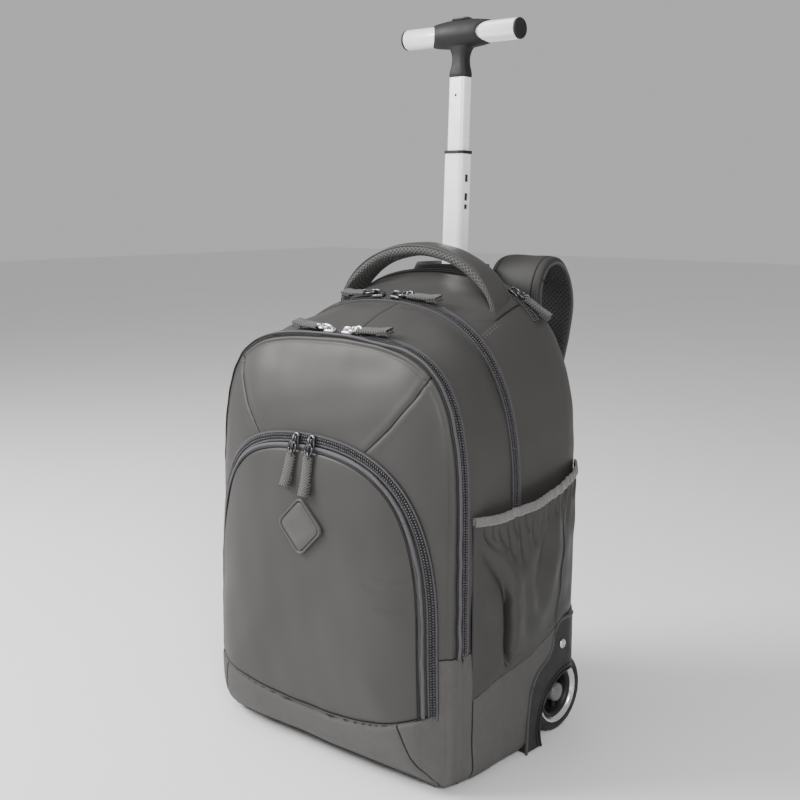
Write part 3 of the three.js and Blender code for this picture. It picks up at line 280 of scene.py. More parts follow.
def body_surface(depths, grow=0.0, count=RING_COUNT):
    """Rows of points round the body, one row for each depth."""
    rows = []
    for y in depths:
        ring = body_ring(y, grow, count)
        rows.append(np.c_[ring[:, 0], np.full(count, y), ring[:, 1]])
    return np.array(rows)


def grid_faces(rows, columns, closed_rows=False, closed_columns=False):
    down = np.arange(rows if closed_rows else rows - 1)
    along = np.arange(columns if closed_columns else columns - 1)
    r, c = (side.ravel() for side in np.meshgrid(down, along, indexing="ij"))
    below, right = (r + 1) % rows, (c + 1) % columns
    return np.stack(
        [r * columns + c, r * columns + right, below * columns + right, below * columns + c], axis=1
    )


def grid_normals(points, closed_columns=True):
    """Unit normals of a grid of points; the sign follows the grid's two directions."""
    down = np.gradient(points, axis=0)
    if closed_columns:
        along = np.roll(points, -1, axis=1) - np.roll(points, 1, axis=1)
    else:
        along = np.gradient(points, axis=1)
    normal = np.cross(along, down)
    return normal / np.maximum(np.linalg.norm(normal, axis=2, keepdims=True), 1e-9)


def drift(points, size, seed, waves=7):
    """Soft random unevenness between about -1 and 1, with swells about size millimetres long."""
    chance = np.random.default_rng(seed)
    total = np.zeros(points.shape[:-1])
    for _ in range(waves):
        way = chance.normal(size=3)
        way *= 2 * np.pi / (size * chance.uniform(0.7, 1.6) * np.linalg.norm(way))
        total += np.sin(points @ way + chance.uniform(0, 2 * np.pi))
    return total / math.sqrt(waves)


def distance_to(points, line, keep_sign=False):
    """Distance of points to a line of points; with a sign, it is positive on the line's left in its plane."""
    flat = points.reshape(-1, points.shape[-1])
    nearest = np.full(len(flat), 1e9)
    side = np.ones(len(flat))
    for a, b in zip(line[:-1], line[1:]):
        a, b = np.asarray(a, float), np.asarray(b, float)
        t = np.clip((flat - a) @ (b - a) / ((b - a) @ (b - a)), 0, 1)
        away = flat - a - t[:, None] * (b - a)
        gap = np.linalg.norm(away, axis=1)
        closer = gap < nearest
        nearest[closer] = gap[closer]
        if keep_sign:
            cross = (b[0] - a[0]) * (flat[:, 1] - a[1]) - (b[1] - a[1]) * (flat[:, 0] - a[0])
            side[closer] = np.where(cross[closer] < 0, -1.0, 1.0)
    return (nearest * side).reshape(points.shape[:-1])


def add_piece(name, points, faces, finish, body="bag", marks=None, smooth=True):
    """Makes an object from points in millimetres. marks are values kept on its points for the finish."""
    points = np.asarray(points, float).reshape(-1, 3)
    mesh = bpy.data.meshes.new(name)
    mesh.from_pydata((points * MM).tolist(), [], np.asarray(faces).tolist() if len(faces) else [])
    for mark, values in (marks or {}).items():
        layer = mesh.attributes.new(mark, "FLOAT", "POINT")
        layer.data.foreach_set("value", np.asarray(values, np.float32).ravel())
    work = bmesh.new()
    work.from_mesh(mesh)
    bmesh.ops.recalc_face_normals(work, faces=work.faces)
    work.to_mesh(mesh)
    work.free()
    if smooth:
        mesh.shade_smooth()
    mesh.materials.append(finish.material)
    piece = bpy.data.objects.new(name, mesh)
    bpy.context.scene.collection.objects.link(piece)
    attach(piece, body)
    return piece


def coated_cloth(name, colour, roughness):
    """Coated polyester: a faint tight weave under the coat, cloudy sheen, painted shade in the seam grooves,
    and a coarse twill where the piece is marked as the hard-wearing base."""
    cloth = Finish(name, colour, roughness, Specular_IOR_Level=0.28)
    x, y, z = (cloth.part_of_place(axis) for axis in "XYZ")
    twill = cloth.attribute("twill").between(-0.4, 0.4)
    seams = [abs(cloth.attribute(mark)) * -1.0 for mark in ("seam_a", "seam_b", "seam_c")]
    # Painted shade: along each seam line the colour is darkened by up to 86%, standing for the shade in its
    # groove.
    seam_groove_shade = seams[0].larger(seams[1]).larger(seams[2]).between(-1.25, -0.35)
    along, up = (x + y) * 1e3, z * 1e3
    pitch = 1.5
    ribs = ((along + up) * (2 * math.pi / pitch)).wave() * 0.5 + 0.5
    picks = ((along - up) * (math.pi / pitch)).wave() * 0.5 + 0.5
    twill_relief = ribs * (0.65 + 0.35 * picks)
    fine = ((along * (2 * math.pi / 0.7)).wave() * (up * (2 * math.pi / 0.7)).wave()) * 0.5 + 0.5
    grain = cloth.noise(1.6, 4.0, 0.6)
    cloud = cloth.noise(70.0, 3.0, 0.5)
    wear = cloth.noise(9.0, 5.0, 0.65)
    tone = cloud.between(0.25, 0.75, 0.95, 1.06) * grain.between(0.2, 0.8, 0.97, 1.03)
    base_tone = twill_relief.between(0.0, 1.0, 1.35, 2.35) * wear.between(0.2, 0.8, 0.94, 1.06)
    tone = tone * (1.0 - twill) + tone * base_tone * twill
    cloth.feed("Base Color", cloth.shade(tone * (1.0 - 0.86 * seam_groove_shade)))
    smooth_part = cloud.between(0.2, 0.8, roughness - 0.04, roughness + 0.05)
    cloth.feed("Roughness", smooth_part + twill * 0.2 + seam_groove_shade * 0.25)
    relief = (fine * 0.10 + grain * 0.30) * (1.0 - twill) + twill_relief * twill * 1.6 - seam_groove_shade * 2.0
    cloth.bump(relief, 0.16)
    return cloth


cloth = coated_cloth("coated_cloth", (0.0455, 0.0430, 0.0412), 0.48)

# Heights of the seam that closes the base on the sides (depth, height) and on the front (across, height).
side_base_seam = np.array(
    [(-87.0, 88.0), (-48.0, 98.6), (8.0, 107.0), (41.0, 120.0), (60.0, 130.0), (105.0, 140.0)]
)
UPRIGHT_SEAM_Y = -85.0
CORNER_PANEL_TOP = 137.0
POCKET_TRIM_Z = 262.0
PATCH_SEAM_X = 112.0
TOP_SEAM_X = 19.0

# Wheel housing's outline on the side: how far ahead of the axle and how high, front edge first.
WHEEL_Y, HOUSING_DEPTH, HOUSING_TOP, HOUSING_INNER_X = 76.0, 73.0, 130.0, 121.0
housing_edge = np.array(
    [(1.0, 0.02), (0.985, 0.29), (0.9, 0.53), (0.75, 0.65), (0.48, 0.75), (0.34, 0.93), (0.22, 1.0)]
)
housing_front = np.c_[WHEEL_Y - housing_edge[:, 0] * HOUSING_DEPTH, housing_edge[:, 1] * HOUSING_TOP]


def inside_housing(points, margin):
    """True where a point lies in the room that the body leaves for a wheel housing."""
    x, y, z = np.abs(points[..., 0]), points[..., 1], points[..., 2]
    front = np.interp(z, housing_front[:, 1], housing_front[:, 0])
    return (x > HOUSING_INNER_X + margin) & (z < HOUSING_TOP - margin) & (y > front + margin)


def without(points, faces, hidden, marks):
    """The grid without the faces whose corners are all hidden, and its points and marks that are left."""
    faces = faces[~hidden.ravel()[faces].all(axis=1)]
    used = np.unique(faces)
    place = np.full(hidden.size, -1)
    place[used] = np.arange(len(used))
    left = {mark: np.broadcast_to(values, hidden.shape).ravel()[used] for mark, values in marks.items()}
    return points.reshape(-1, 3)[used], place[faces], left


def roll(depth, edge, width, rise):
    """A soft roll along the edge of a panel: full a little way in and pulled down at the edge itself."""
    away = np.abs(depth - edge)
    return rise * (hump(away, 0.45 * width, 0.4 * width) - 1.3 * hump(away, 0.0, 0.22 * width))


FAR = 50.0
rear_depths = np.r_[
    np.linspace(MAIN_ZIP_Y, MAIN_ZIP_Y + 12, 9),
    np.linspace(MAIN_ZIP_Y + 14, BACK_Y - 22, 40),
    BACK_Y - 20 * (1 - np.sin(np.linspace(0, np.pi / 2, 12))),
]
LAPTOP_ZIP_Y = MAIN_ZIP_Y + 0.64 * REAR_DEPTH
MAST_CUFF_HALF = 46.0
rear = body_surface(rear_depths)
outward = grid_normals(rear)
outward *= np.sign((outward * (rear - (0, 40, 240))).sum(axis=2, keepdims=True))
x, y, z = rear[..., 0], rear[..., 1], rear[..., 2]
side_base = np.interp(y, side_base_seam[:, 0], side_base_seam[:, 1]) - z
on_side = smoothstep(np.abs(x), 150, 160)
above = smoothstep(z, 430, 455)
lift = (1.1 * drift(rear, 150, 11) + 0.45 * drift(rear, 42, 12)) * smoothstep(y, MAIN_ZIP_Y, MAIN_ZIP_Y + 12)
lift += roll(y, MAIN_ZIP_Y, 9.0, 1.6) * smoothstep(z, 200, 240)
lift += on_side * (1.2 * smoothstep(side_base, -0.8, 0.8) - 1.0 * hump(side_base, 0, 1.6))
lift += above * (
    -0.9 * hump(np.abs(x), PATCH_SEAM_X, 1.8) + 0.7 * smoothstep(PATCH_SEAM_X - np.abs(x), -1, 2)
)
lift += 3.0 * above * smoothstep(MAST_CUFF_HALF - np.abs(x), -8, 8) * smoothstep(y, 62, 74)
lift -= 1.2 * hump(y, LAPTOP_ZIP_Y, 6.0) * above
lift *= smoothstep(BACK_Y + 4 - y, 0, 14)
rear = rear + outward * lift[..., None]
rear_marks = {
    "twill": np.minimum(side_base, 62.0 - y),
    "seam_a": np.where(on_side > 0.5, side_base, np.copysign(FAR, side_base)),
    "seam_b": np.where(above > 0.5, np.abs(x) - PATCH_SEAM_X, FAR),
    "seam_c": np.full(x.shape, FAR),
}

# The back panel closes the rear compartment: padded in the middle, with a channel down its centre.
panel_shares = np.linspace(1, 0, 40)[1:] ** 0.8
edge = rear[-1]
centre = np.array([0.0, BACK_Y, 0.5 * BODY_HEIGHT])
panel = centre + (edge - centre) * panel_shares[:, None, None]
px, pz = panel[..., 0], panel[..., 2]
panel[..., 1] = edge[..., 1] + 0.6 * drift(panel, 90, 13) - 1.2 * hump(px, 0, 9.0)
rear_whole = np.concatenate([rear, panel])
whole_marks = {
    mark: np.concatenate([values, np.full(panel.shape[:2], -FAR if mark == "twill" else FAR)])
    for mark, values in rear_marks.items()
}
hidden = inside_housing(rear_whole, 2.5)
points, faces, marks = without(
    rear_whole, grid_faces(*rear_whole.shape[:2], closed_columns=True), hidden, whole_marks
)
rear_compartment = add_piece("rear_body", points, faces, cloth, marks=marks)
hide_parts("rear_compartment")

# The middle compartment, with its top seam, the dent under the front zipper and the twill front corner.
middle_depths = np.r_[
    np.linspace(FRONT_ZIP_Y + 0.6, FRONT_ZIP_Y + 16, 12),
    np.linspace(FRONT_ZIP_Y + 18, MAIN_ZIP_Y - 12, 28),
    np.linspace(MAIN_ZIP_Y - 10, MAIN_ZIP_Y, 8),
]
middle = body_surface(middle_depths)
outward = grid_normals(middle)
outward *= np.sign((outward * (middle - (0, -60, 240))).sum(axis=2, keepdims=True))
x, y, z = middle[..., 0], middle[..., 1], middle[..., 2]
side_base = np.interp(y, side_base_seam[:, 0], side_base_seam[:, 1]) - z
on_side = smoothstep(np.abs(x), 146, 156)
twill = np.minimum(UPRIGHT_SEAM_Y - y, CORNER_PANEL_TOP - z)
twill = np.where(y > UPRIGHT_SEAM_Y, np.minimum(y - UPRIGHT_SEAM_Y, side_base), twill)
upright = y - UPRIGHT_SEAM_Y
upright = np.where(z < POCKET_TRIM_Z, upright, np.copysign(np.abs(upright) + z - POCKET_TRIM_Z, upright))
settled = smoothstep(y, FRONT_ZIP_Y, FRONT_ZIP_Y + 14) * smoothstep(MAIN_ZIP_Y - y, 0, 12)
lift = settled * (1.0 * drift(middle, 120, 21) + 0.4 * drift(middle, 36, 22))
lift -= 0.9 * hump(x, TOP_SEAM_X, 1.7) * smoothstep(z, 400, 420)
lift += (roll(y, MAIN_ZIP_Y, 9.0, 1.8) + roll(y, FRONT_ZIP_Y, 8.0, 1.2)) * smoothstep(z, 130, 170)
behind = smoothstep(y, UPRIGHT_SEAM_Y - 1, UPRIGHT_SEAM_Y + 1)
lift += on_side * behind * (1.2 * smoothstep(side_base, -0.8, 0.8) - 1.0 * hump(side_base, 0, 1.6))
in_front = 1 - behind
lift += on_side * (-1.0 * hump(upright, 0, 1.6) + 1.0 * in_front * smoothstep(twill, -0.8, 0.8))
middle = middle + outward * lift[..., None]
marks = {
    "twill": twill,
    "seam_a": np.where((on_side > 0.5) & (y > UPRIGHT_SEAM_Y), side_base, np.copysign(FAR, side_base)),
    "seam_b": np.where(on_side > 0.5, upright, np.copysign(FAR, upright)),
    "seam_c": np.where(z > 400, x - TOP_SEAM_X, np.where(y > UPRIGHT_SEAM_Y, FAR, CORNER_PANEL_TOP - z)),
}
faces = grid_faces(*middle.shape[:2], closed_columns=True)
middle_compartment = add_piece("middle_body", middle, faces, cloth, marks=marks)
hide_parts("middle_compartment")

# Front compartment. A domed face panel, full at the foot and leaning back towards the top, with two
# diagonal seams that run in to the pocket and a hard-wearing twill base that wraps round both corners.
FRONT_BAND = 5.0
FRONT_BULGE = 40.0
FACE_CENTRE_Z = 0.452 * BODY_HEIGHT


def share_out(x, z, ring, centre_z):
    """How far points lie from an outline's centre, as a share of the way to the outline."""
    angle = np.arctan2(ring[:, 0], centre_z - ring[:, 1])
    order = np.argsort(angle)
    reach = np.hypot(ring[:, 0], ring[:, 1] - centre_z)
    here = np.arctan2(x, centre_z - z)
    return np.hypot(x, z - centre_z) / np.interp(here, angle[order], reach[order], period=2 * np.pi)


def dome(share, z):
    rise = smoothstep(z, 0.2 * BODY_HEIGHT, 0.86 * BODY_HEIGHT)
    return np.maximum(0.0, 1 - share ** (4.2 - 1.8 * rise)) ** (0.55 + 0.17 * rise)


face_ring = body_ring(FRONT_ZIP_Y)


def face_y(x, z):
    share = np.minimum(1.0, share_out(x, z, face_ring, FACE_CENTRE_Z))
    return FRONT_ZIP_Y - FRONT_BAND - FRONT_BULGE * dome(share, z)


def front_base_z(x):
    """Height of the seam between the face and its base."""
    return 55.0 + 35.0 * (np.abs(x) / BODY_HALF_WIDTH) ** 2.2


def front_twill(x, z):
    """How far inside the twill base a point of the front lies."""
    corner = np.minimum(np.abs(x) - 150.0, CORNER_PANEL_TOP - z)
    return np.maximum(front_base_z(x) - z, corner)


diagonal_seam = [(165.0, 445.0), (129.5, 402.0), (119.0, 381.0), (98.5, 354.0), (70.0, 324.5), (45.0, 300.0)]
base_corner_seam = [(119.0, 72.0), (123.0, 63.0), (131.0, 41.0), (143.0, 22.0), (150.0, 5.0)]

def tapered(points, line, width):
    """A soft stroke along a line of points that dies away at both its ends."""
    line = np.asarray(line, float)
    dense = resample(line, 40)
    best = np.zeros(points.shape[:-1])
    for i, point in enumerate(dense):
        strength = math.sin(math.pi * (i + 0.5) / len(dense)) ** 0.5
        away = np.linalg.norm(points - point, axis=-1)
        best = np.maximum(best, strength * np.exp(-((away / width) ** 2)))
    return best


POCKET_HALF_WIDTH = 140.0
POCKET_BOTTOM = 38.0
POCKET_TOP = 324.0
POCKET_EDGE = 4.0
POCKET_BULGE = 6.0
POCKET_FLARE = 0.02
FACE_GAP = 1.2
pocket_centre_z = (POCKET_BOTTOM + POCKET_TOP) / 2


def pocket_ring(grow=0.0, count=RING_COUNT):
    """Outline of the pocket that lies on the face."""
    shoulder = POCKET_BOTTOM + 0.42 * (POCKET_TOP - POCKET_BOTTOM)
    corner = 0.22 * POCKET_HALF_WIDTH
    ring = outline(POCKET_HALF_WIDTH, POCKET_BOTTOM, corner, shoulder, POCKET_TOP, 0.86, 0.62, grow, count)
    ring[:, 0] *= 1 + POCKET_FLARE * (1 - smoothstep(ring[:, 1], POCKET_BOTTOM, pocket_centre_z))
    return ring


spread = np.linspace(0, 1, 112)
shares = 1 - (1 - spread[1:]) ** 1.75
face = np.empty((len(shares), RING_COUNT, 3))
for row, share in enumerate(shares):
    face[row, :, 0] = face_ring[:, 0] * share
    face[row, :, 2] = FACE_CENTRE_Z + (face_ring[:, 1] - FACE_CENTRE_Z) * share
    face[row, :, 1] = FRONT_ZIP_Y - FRONT_BAND - FRONT_BULGE * dome(share, face[row, :, 2])
outward = grid_normals(face)
outward *= np.sign((outward * (face - (0, 0, 220))).sum(axis=2, keepdims=True))
x, y, z = face[..., 0], face[..., 1], face[..., 2]
flat = np.stack([np.abs(x), z], axis=-1)
diagonal = distance_to(flat, diagonal_seam, keep_sign=True)
corner_seam = np.where(z < front_base_z(x) + 6, distance_to(flat, base_corner_seam, keep_sign=True), FAR)
twill = front_twill(x, z)
edge_share = np.broadcast_to(shares[:, None], x.shape)
lift = 0.8 * drift(face, 150, 31) + 0.3 * drift(face, 46, 32)
lift += -1.3 * hump(diagonal, 0, 1.2) + 0.5 * hump(np.abs(diagonal), 5.0, 4.0)
lift += 1.0 * smoothstep(twill, -0.8, 0.8) - 0.9 * hump(twill, 0, 1.6)
lift += np.where(z < front_base_z(x), -0.8 * hump(corner_seam, 0, 1.6), 0.0)
lift += -1.3 * hump(x, 66, 34) * hump(z, 404, 13) - 0.9 * hump(x, -58, 30) * hump(z, 407, 12)
lift += 1.2 * hump(edge_share, 0.984, 0.008) - 0.5 * hump(edge_share, 0.970, 0.006)
lift *= 1 - 0.9 * smoothstep(edge_share, 0.992, 1.0)
beside_pocket = hump(share_out(x, z, pocket_ring(), pocket_centre_z), 1.05, 0.09)
lift *= 1 - 0.9 * beside_pocket * smoothstep(z, 70, 90)
across = np.minimum(1.0, np.abs(x) / POCKET_HALF_WIDTH)
base_fullness = FACE_GAP + POCKET_EDGE + POCKET_BULGE * (1 - across**3) ** 0.6
base_fullness *= 1 - smoothstep(np.abs(x), POCKET_HALF_WIDTH - 6, POCKET_HALF_WIDTH + 20)
lift += base_fullness * smoothstep(front_base_z(x) - z, -1.0, 1.0) * smoothstep(z, 2, 34)
face = face + outward * lift[..., None]
middle_point = face[0].mean(axis=0)
band = face[-1][None].repeat(3, axis=0)
for row, (depth, grow) in enumerate([(2.0, 0.8), (4.0, 0.2), (5.6, -1.6)]):
    open_edge, closed_edge = body_ring(FRONT_ZIP_Y, grow), body_ring(FRONT_ZIP_Y, 1.0)
    share = smoothstep(open_edge[:, 1], CORNER_PANEL_TOP - 8, CORNER_PANEL_TOP)[:, None]
    ring = open_edge * share + closed_edge * (1 - share)
    band[row] = np.c_[ring[:, 0], np.full(RING_COUNT, FRONT_ZIP_Y - FRONT_BAND + depth), ring[:, 1]]
face = np.concatenate([middle_point[None, None].repeat(RING_COUNT, axis=1), face, band])
pad = [(1, 3), (0, 0)]
marks = {
    "twill": np.pad(twill, pad, mode="edge"),
    "seam_a": np.pad(diagonal, pad, mode="edge"),
    "seam_b": np.pad(twill, pad, mode="edge"),
    "seam_c": np.pad(corner_seam, pad, mode="edge"),
}
faces = grid_faces(*face.shape[:2], closed_columns=True)
front_compartment = add_piece("front_body", face, faces, cloth, marks=marks)
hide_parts("front_compartment")

# Front pocket. One large panel laid on the face, held by its arched zipper and by the base seam, and a
# little fuller than the face beneath it.
def pocket_y(x, z):
    share = np.minimum(1.0, share_out(x, z, pocket_ring(), pocket_centre_z))
    return face_y(x, z) - FACE_GAP - POCKET_EDGE - POCKET_BULGE * np.maximum(0, 1 - share**3) ** 0.6


spread = np.linspace(0, 1, 92)
shares = 1 - (1 - spread[1:]) ** 1.6
ring = pocket_ring()
pocket = np.empty((len(shares), RING_COUNT, 3))
for row, share in enumerate(shares):
    px = ring[:, 0] * share
    pz = pocket_centre_z + (ring[:, 1] - pocket_centre_z) * share
    height = POCKET_EDGE + POCKET_BULGE * max(0.0, 1 - share**3) ** 0.6
    pocket[row] = np.c_[px, face_y(px, pz) - FACE_GAP - height, pz]
outward = grid_normals(pocket)
outward *= np.sign((outward * (pocket - (0, 0, 200))).sum(axis=2, keepdims=True))
x, y, z = pocket[..., 0], pocket[..., 1], pocket[..., 2]
edge_share = np.broadcast_to(shares[:, None], x.shape)
twill = front_base_z(x) - z
upper = smoothstep(z, 60, 90)
lift = 1.2 * drift(pocket, 140, 41) + 0.35 * drift(pocket, 50, 42)
lift -= upper * 0.8 * hump(edge_share, 0.985, 0.010)
for line in (
    [(136, 214), (118, 210), (98, 213)], [(137, 200), (112, 199), (84, 204)],
    [(136, 186), (116, 182), (100, 184)]
):
    lift -= 1.5 * tapered(np.stack([x, z], axis=-1), line, 3.6)
lift -= 1.0 * hump(twill, 0, 1.7)
pocket = pocket + outward * lift[..., None]
edge = pocket[-1].copy()
inward = edge.copy()
inward[:, 1] = face_y(edge[:, 0], edge[:, 2]) - 0.4
middle_point = pocket[0].mean(axis=0)
pocket = np.concatenate([middle_point[None, None].repeat(RING_COUNT, axis=1), pocket, inward[None]])
pad = [(1, 1), (0, 0)]
marks = {
    "twill": np.pad(twill, pad, mode="edge"),
    "seam_a": np.pad(twill, pad, mode="edge"),
    "seam_b": np.pad(np.where(upper > 0, (0.985 - edge_share) * 120.0, FAR), pad, mode="edge"),
    "seam_c": np.full(pocket.shape[:2], FAR),
}
under_base = pocket[..., 2] < front_base_z(pocket[..., 0]) - 3.0
faces = grid_faces(*pocket.shape[:2], closed_columns=True)
points, faces, marks = without(pocket, faces, under_base, marks)
front_pocket = add_piece("front_pocket_panel", points, faces, cloth, marks=marks)
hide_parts("front_pocket")

# Zippers. Ribbed polyester tape stitched along both panels, with a braided nylon coil down the middle: over
# the main and front openings, round the pocket's arch, and over the hump for the laptop compartment.
FRONT_ZIP_DROP, MAIN_ZIP_DROP, LAPTOP_ZIP_DROP, POCKET_ZIP_DROP = 294.0, 236.0, 47.0, 246.0
zip_tape = Finish("zip_tape", (0.052, 0.050, 0.056), 0.72, Sheen_Weight=0.1)
along, across = (zip_tape.attribute(mark) for mark in ("along", "across"))
ribs = (along * (2 * math.pi / 1.7)).wave() * 0.5 + 0.5
# Painted shade and shadow: the tape under the coil is darkened to a fifth of its tone, and a dark band near
# each outer edge stands for the shadow where the tape tucks under the cloth.
strip = abs(across).between(3.5, 3.9)
edge_shadow = abs(across).between(5.6, 6.2)
tone = (0.2 * (1.0 - strip) + ribs.between(0.0, 1.0, 0.7, 1.15) * strip) * (1.0 - 0.88 * edge_shadow)
zip_tape.feed("Base Color", zip_tape.shade(tone * zip_tape.noise(5.0).between(0.2, 0.8, 0.9, 1.1)))
zip_tape.bump(ribs, 0.3)
coil_nylon = Finish("coil_nylon", (0.032, 0.032, 0.035), 0.3, Specular_IOR_Level=0.7)
coil_nylon.feed("Base Color", coil_nylon.shade(coil_nylon.noise(3.0).between(0.3, 0.7, 0.75, 1.3)))

bead_work = bmesh.new()
bmesh.ops.create_icosphere(bead_work, subdivisions=1, radius=1.0)
bead_points = np.array([vertex.co for vertex in bead_work.verts])
bead_faces = np.array([[vertex.index for vertex in face.verts] for face in bead_work.faces])
bead_work.free()


def beads(places, ways, sizes):
    """One small rounded grain at each place; ways are its three directions and sizes its half lengths."""
    shaped = sum(
        way[:, None, :] * (bead_points[None, :, axis, None] * size) for axis,
        (way, size) in enumerate(zip(ways, sizes))
    )
    points = (np.asarray(places)[:, None, :] + shaped).reshape(-1, 3)
    shift = np.arange(len(places))[:, None, None] * len(bead_points)
    return points, (bead_faces[None] + shift).reshape(-1, 3)


def unit(vectors):
    return vectors / np.maximum(np.linalg.norm(vectors, axis=-1, keepdims=True), 1e-9)


TAPE_PROFILE = [
    (-7.4, -2.4), (-6.8, 0.7), (-6.0, 1.2), (-4.6, 1.3), (-3.9, 1.1), (-3.5, 0.6), (-2.0, 0.7), (0.0, 0.8),
    (2.0, 0.7), (3.5, 0.6), (3.9, 1.1), (4.6, 1.3), (6.0, 1.2), (6.8, 0.7), (7.4, -2.4),
]
TOOTH_PITCH = 2.5


def zipper(name, node, lay, length, end_z, base=0.6, narrow=1.0):
    """Tape and coil on a surface; lay gives the surface's points at a distance across the zipper."""
    count = 2 * round(length / TOOTH_PITCH / 2)
    middle, ahead = lay(0.0, count), lay(1.0, count)
    way = unit(np.roll(middle, -1, axis=0) - np.roll(middle, 1, axis=0))
    sideways = unit(ahead - middle)
    outward = unit(np.cross(sideways, way))
    kept = np.flatnonzero(middle[:, 2] > end_z)
    rows = []
    for a, b in TAPE_PROFILE:
        rows.append(lay(a * narrow, count) + outward * (b + base))
    band = np.stack(rows, axis=1)[kept]
    marks = {
        "along": np.repeat(np.arange(len(kept)) * TOOTH_PITCH, len(TAPE_PROFILE)),
        "across": np.tile([a for a, _ in TAPE_PROFILE], len(kept)),
    }
    faces = grid_faces(*band.shape[:2])
    tape = add_piece(f"{name}_tape", band, faces, zip_tape, marks=marks)
    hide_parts(node)
    grains = []
    for side, shift in ((-1, 0), (1, 1)):
        half_step = 0.5 * shift * TOOTH_PITCH * way
        grains.append((middle + outward * (1.4 + base) + sideways * 1.75 * side * narrow + half_step)[kept])
    slanted = unit(sideways + 0.35 * way)
    ways = [np.tile(part[kept], (2, 1)) for part in (slanted, unit(np.cross(outward, slanted)), outward)]
    coil_points, coil_faces = beads(np.concatenate(grains), ways, (1.9 * narrow, 0.95, 1.1))
    add_piece(f"{name}_coil", coil_points, coil_faces, coil_nylon)


def body_lay(seam_y):
    def lay(a, count):
        ring = body_ring(max(seam_y + a, FRONT_ZIP_Y - FRONT_BAND), 0.0, count)
        return np.c_[ring[:, 0], np.full(count, seam_y + a), ring[:, 1]]

    return lay


def pocket_lay(a, count):
    """Points on the face a true distance outside the pocket's edge, however steep the face is there."""
    ring, wider = pocket_ring(0.0, count), pocket_ring(1.0, count)
    steps = np.linspace(0, 16, 33)
    flat = ring[:, None] + (wider - ring)[:, None] * steps[None, :, None]
    depth = face_y(flat[..., 0], flat[..., 1])
    track = np.stack([flat[..., 0], depth, flat[..., 1]], axis=2)
    gone = np.cumsum(np.linalg.norm(np.diff(track, axis=1), axis=2), axis=1)
    reach = POCKET_ZIP_REACH + a
    share = np.array([np.interp(reach, np.r_[0, one], steps) for one in gone])[:, None]
    place = ring + (wider - ring) * share
    return np.c_[place[:, 0], face_y(place[:, 0], place[:, 1]), place[:, 1]]


POCKET_ZIP_REACH = 8.2
zipper("main_zip", "main_zipper", body_lay(MAIN_ZIP_Y), 1480, 0.947 * BODY_HEIGHT - MAIN_ZIP_DROP, 1.5, 1.12)
zipper("front_zip", "front_zipper", body_lay(FRONT_ZIP_Y), 1400, 0.885 * BODY_HEIGHT - FRONT_ZIP_DROP, 1.3)
zipper("laptop_zip", "laptop_zipper", body_lay(LAPTOP_ZIP_Y), 1500, BODY_HEIGHT - LAPTOP_ZIP_DROP, 1.0, 0.85)
zipper("pocket_zip", "pocket_zipper", pocket_lay, 1000, POCKET_TOP - POCKET_ZIP_DROP, 0.9, 0.86)

# Side pockets. A slack panel of the same cloth, sewn in at the bottom and both edges and gathered under a
# ribbed elastic band, so it hangs in deep folds.
SIDE_FRONT_Y, SIDE_BACK_Y = -86.0, 90.0
SIDE_TRIM_FRONT, SIDE_TRIM_BACK = 262.0, 289.0
SIDE_BULGE = 15.0
side_cloth = coated_cloth("side_pocket_cloth", (0.0355, 0.0339, 0.0328), 0.47)
elastic = Finish("ribbed_elastic", (0.120, 0.115, 0.110), 0.75, Sheen_Weight=0.25)
along, across = (elastic.attribute(mark) for mark in ("along", "across"))
cords = (across * (2 * math.pi / 1.6)).wave() * 0.5 + 0.5
picks = (along * (2 * math.pi / 1.2)).wave() * 0.5 + 0.5
tone = cords.between(0.0, 1.0, 0.85, 1.06) * picks.between(0.0, 1.0, 0.88, 1.06)
elastic.feed("Base Color", elastic.shade(tone * elastic.noise(6.0).between(0.2, 0.8, 0.92, 1.08)))
elastic.bump(cords * 0.8 + picks * 0.6, 0.15)

# Folds of the panel: a line of (Y, Z), how deep and how wide. A depth below nothing is a full place.
folds = [
    ([(-80, 240), (-66, 223), (-52, 203), (-44, 181), (-40, 155), (-37, 129), (-34, 106)], 6.5, 6.5),
    ([(-43, 176), (-40, 155), (-37, 130), (-34, 108)], 11.0, 5.0),
    ([(-66, 200), (-62, 175), (-56, 145), (-50, 120)], -3.0, 11.0),
    ([(-54, 225), (-36, 196), (-30, 170), (-26, 140), (-20, 120)], -6.0, 9.0),
    ([(-20, 215), (-14, 180), (0, 150), (18, 130)], -3.0, 11.0),
    ([(20, 262), (15, 230), (8, 195), (4, 160)], 4.0, 9.0),
    ([(34, 262), (33, 230), (30, 195), (26, 160)], -2.5, 9.0),
    ([(-72, 256), (-68, 244), (-60, 234)], 3.0, 3.4),
    ([(-60, 257), (-53, 244), (-48, 234)], 3.2, 3.0),
    ([(-47, 259), (-42, 240), (-37, 222)], 3.4, 3.4),
    ([(-30, 260), (-25, 236), (-22, 212)], 3.6, 4.0),
    ([(-10, 262), (-8, 244), (-7, 230)], 3.0, 3.2),
    ([(6, 265), (5, 246), (4, 230)], 2.6, 3.6),
    ([(40, 272), (41, 256), (41, 242)], 2.4, 3.2),
    ([(62, 278), (58, 260), (56, 240)], 2.8, 4.0),
    ([(47, 260), (46, 230), (44, 180), (42, 135)], 1.2, 2.2),
    ([(-76, 262), (-73, 250), (-70, 244)], 3.0, 2.4),
    ([(-66, 262), (-64, 250), (-61, 243)], 3.2, 2.2),
    ([(-38, 264), (-36, 252), (-34, 244)], 3.2, 2.4),
    ([(-20, 266), (-19, 252), (-17, 246)], 3.0, 2.2),
    ([(18, 270), (18, 256), (18, 250)], 2.8, 2.4),
    ([(30, 272), (30, 258), (30, 252)], 2.8, 2.2),
    ([(52, 278), (51, 264), (50, 256)], 3.0, 2.4),
    ([(74, 286), (71, 272), (69, 262)], 3.0, 2.4),
]


# The cloth behind the deepest fold hangs over it in a lip.
lip_line = [(-52, 203), (-44, 181), (-40, 155), (-37, 129), (-34, 106)]


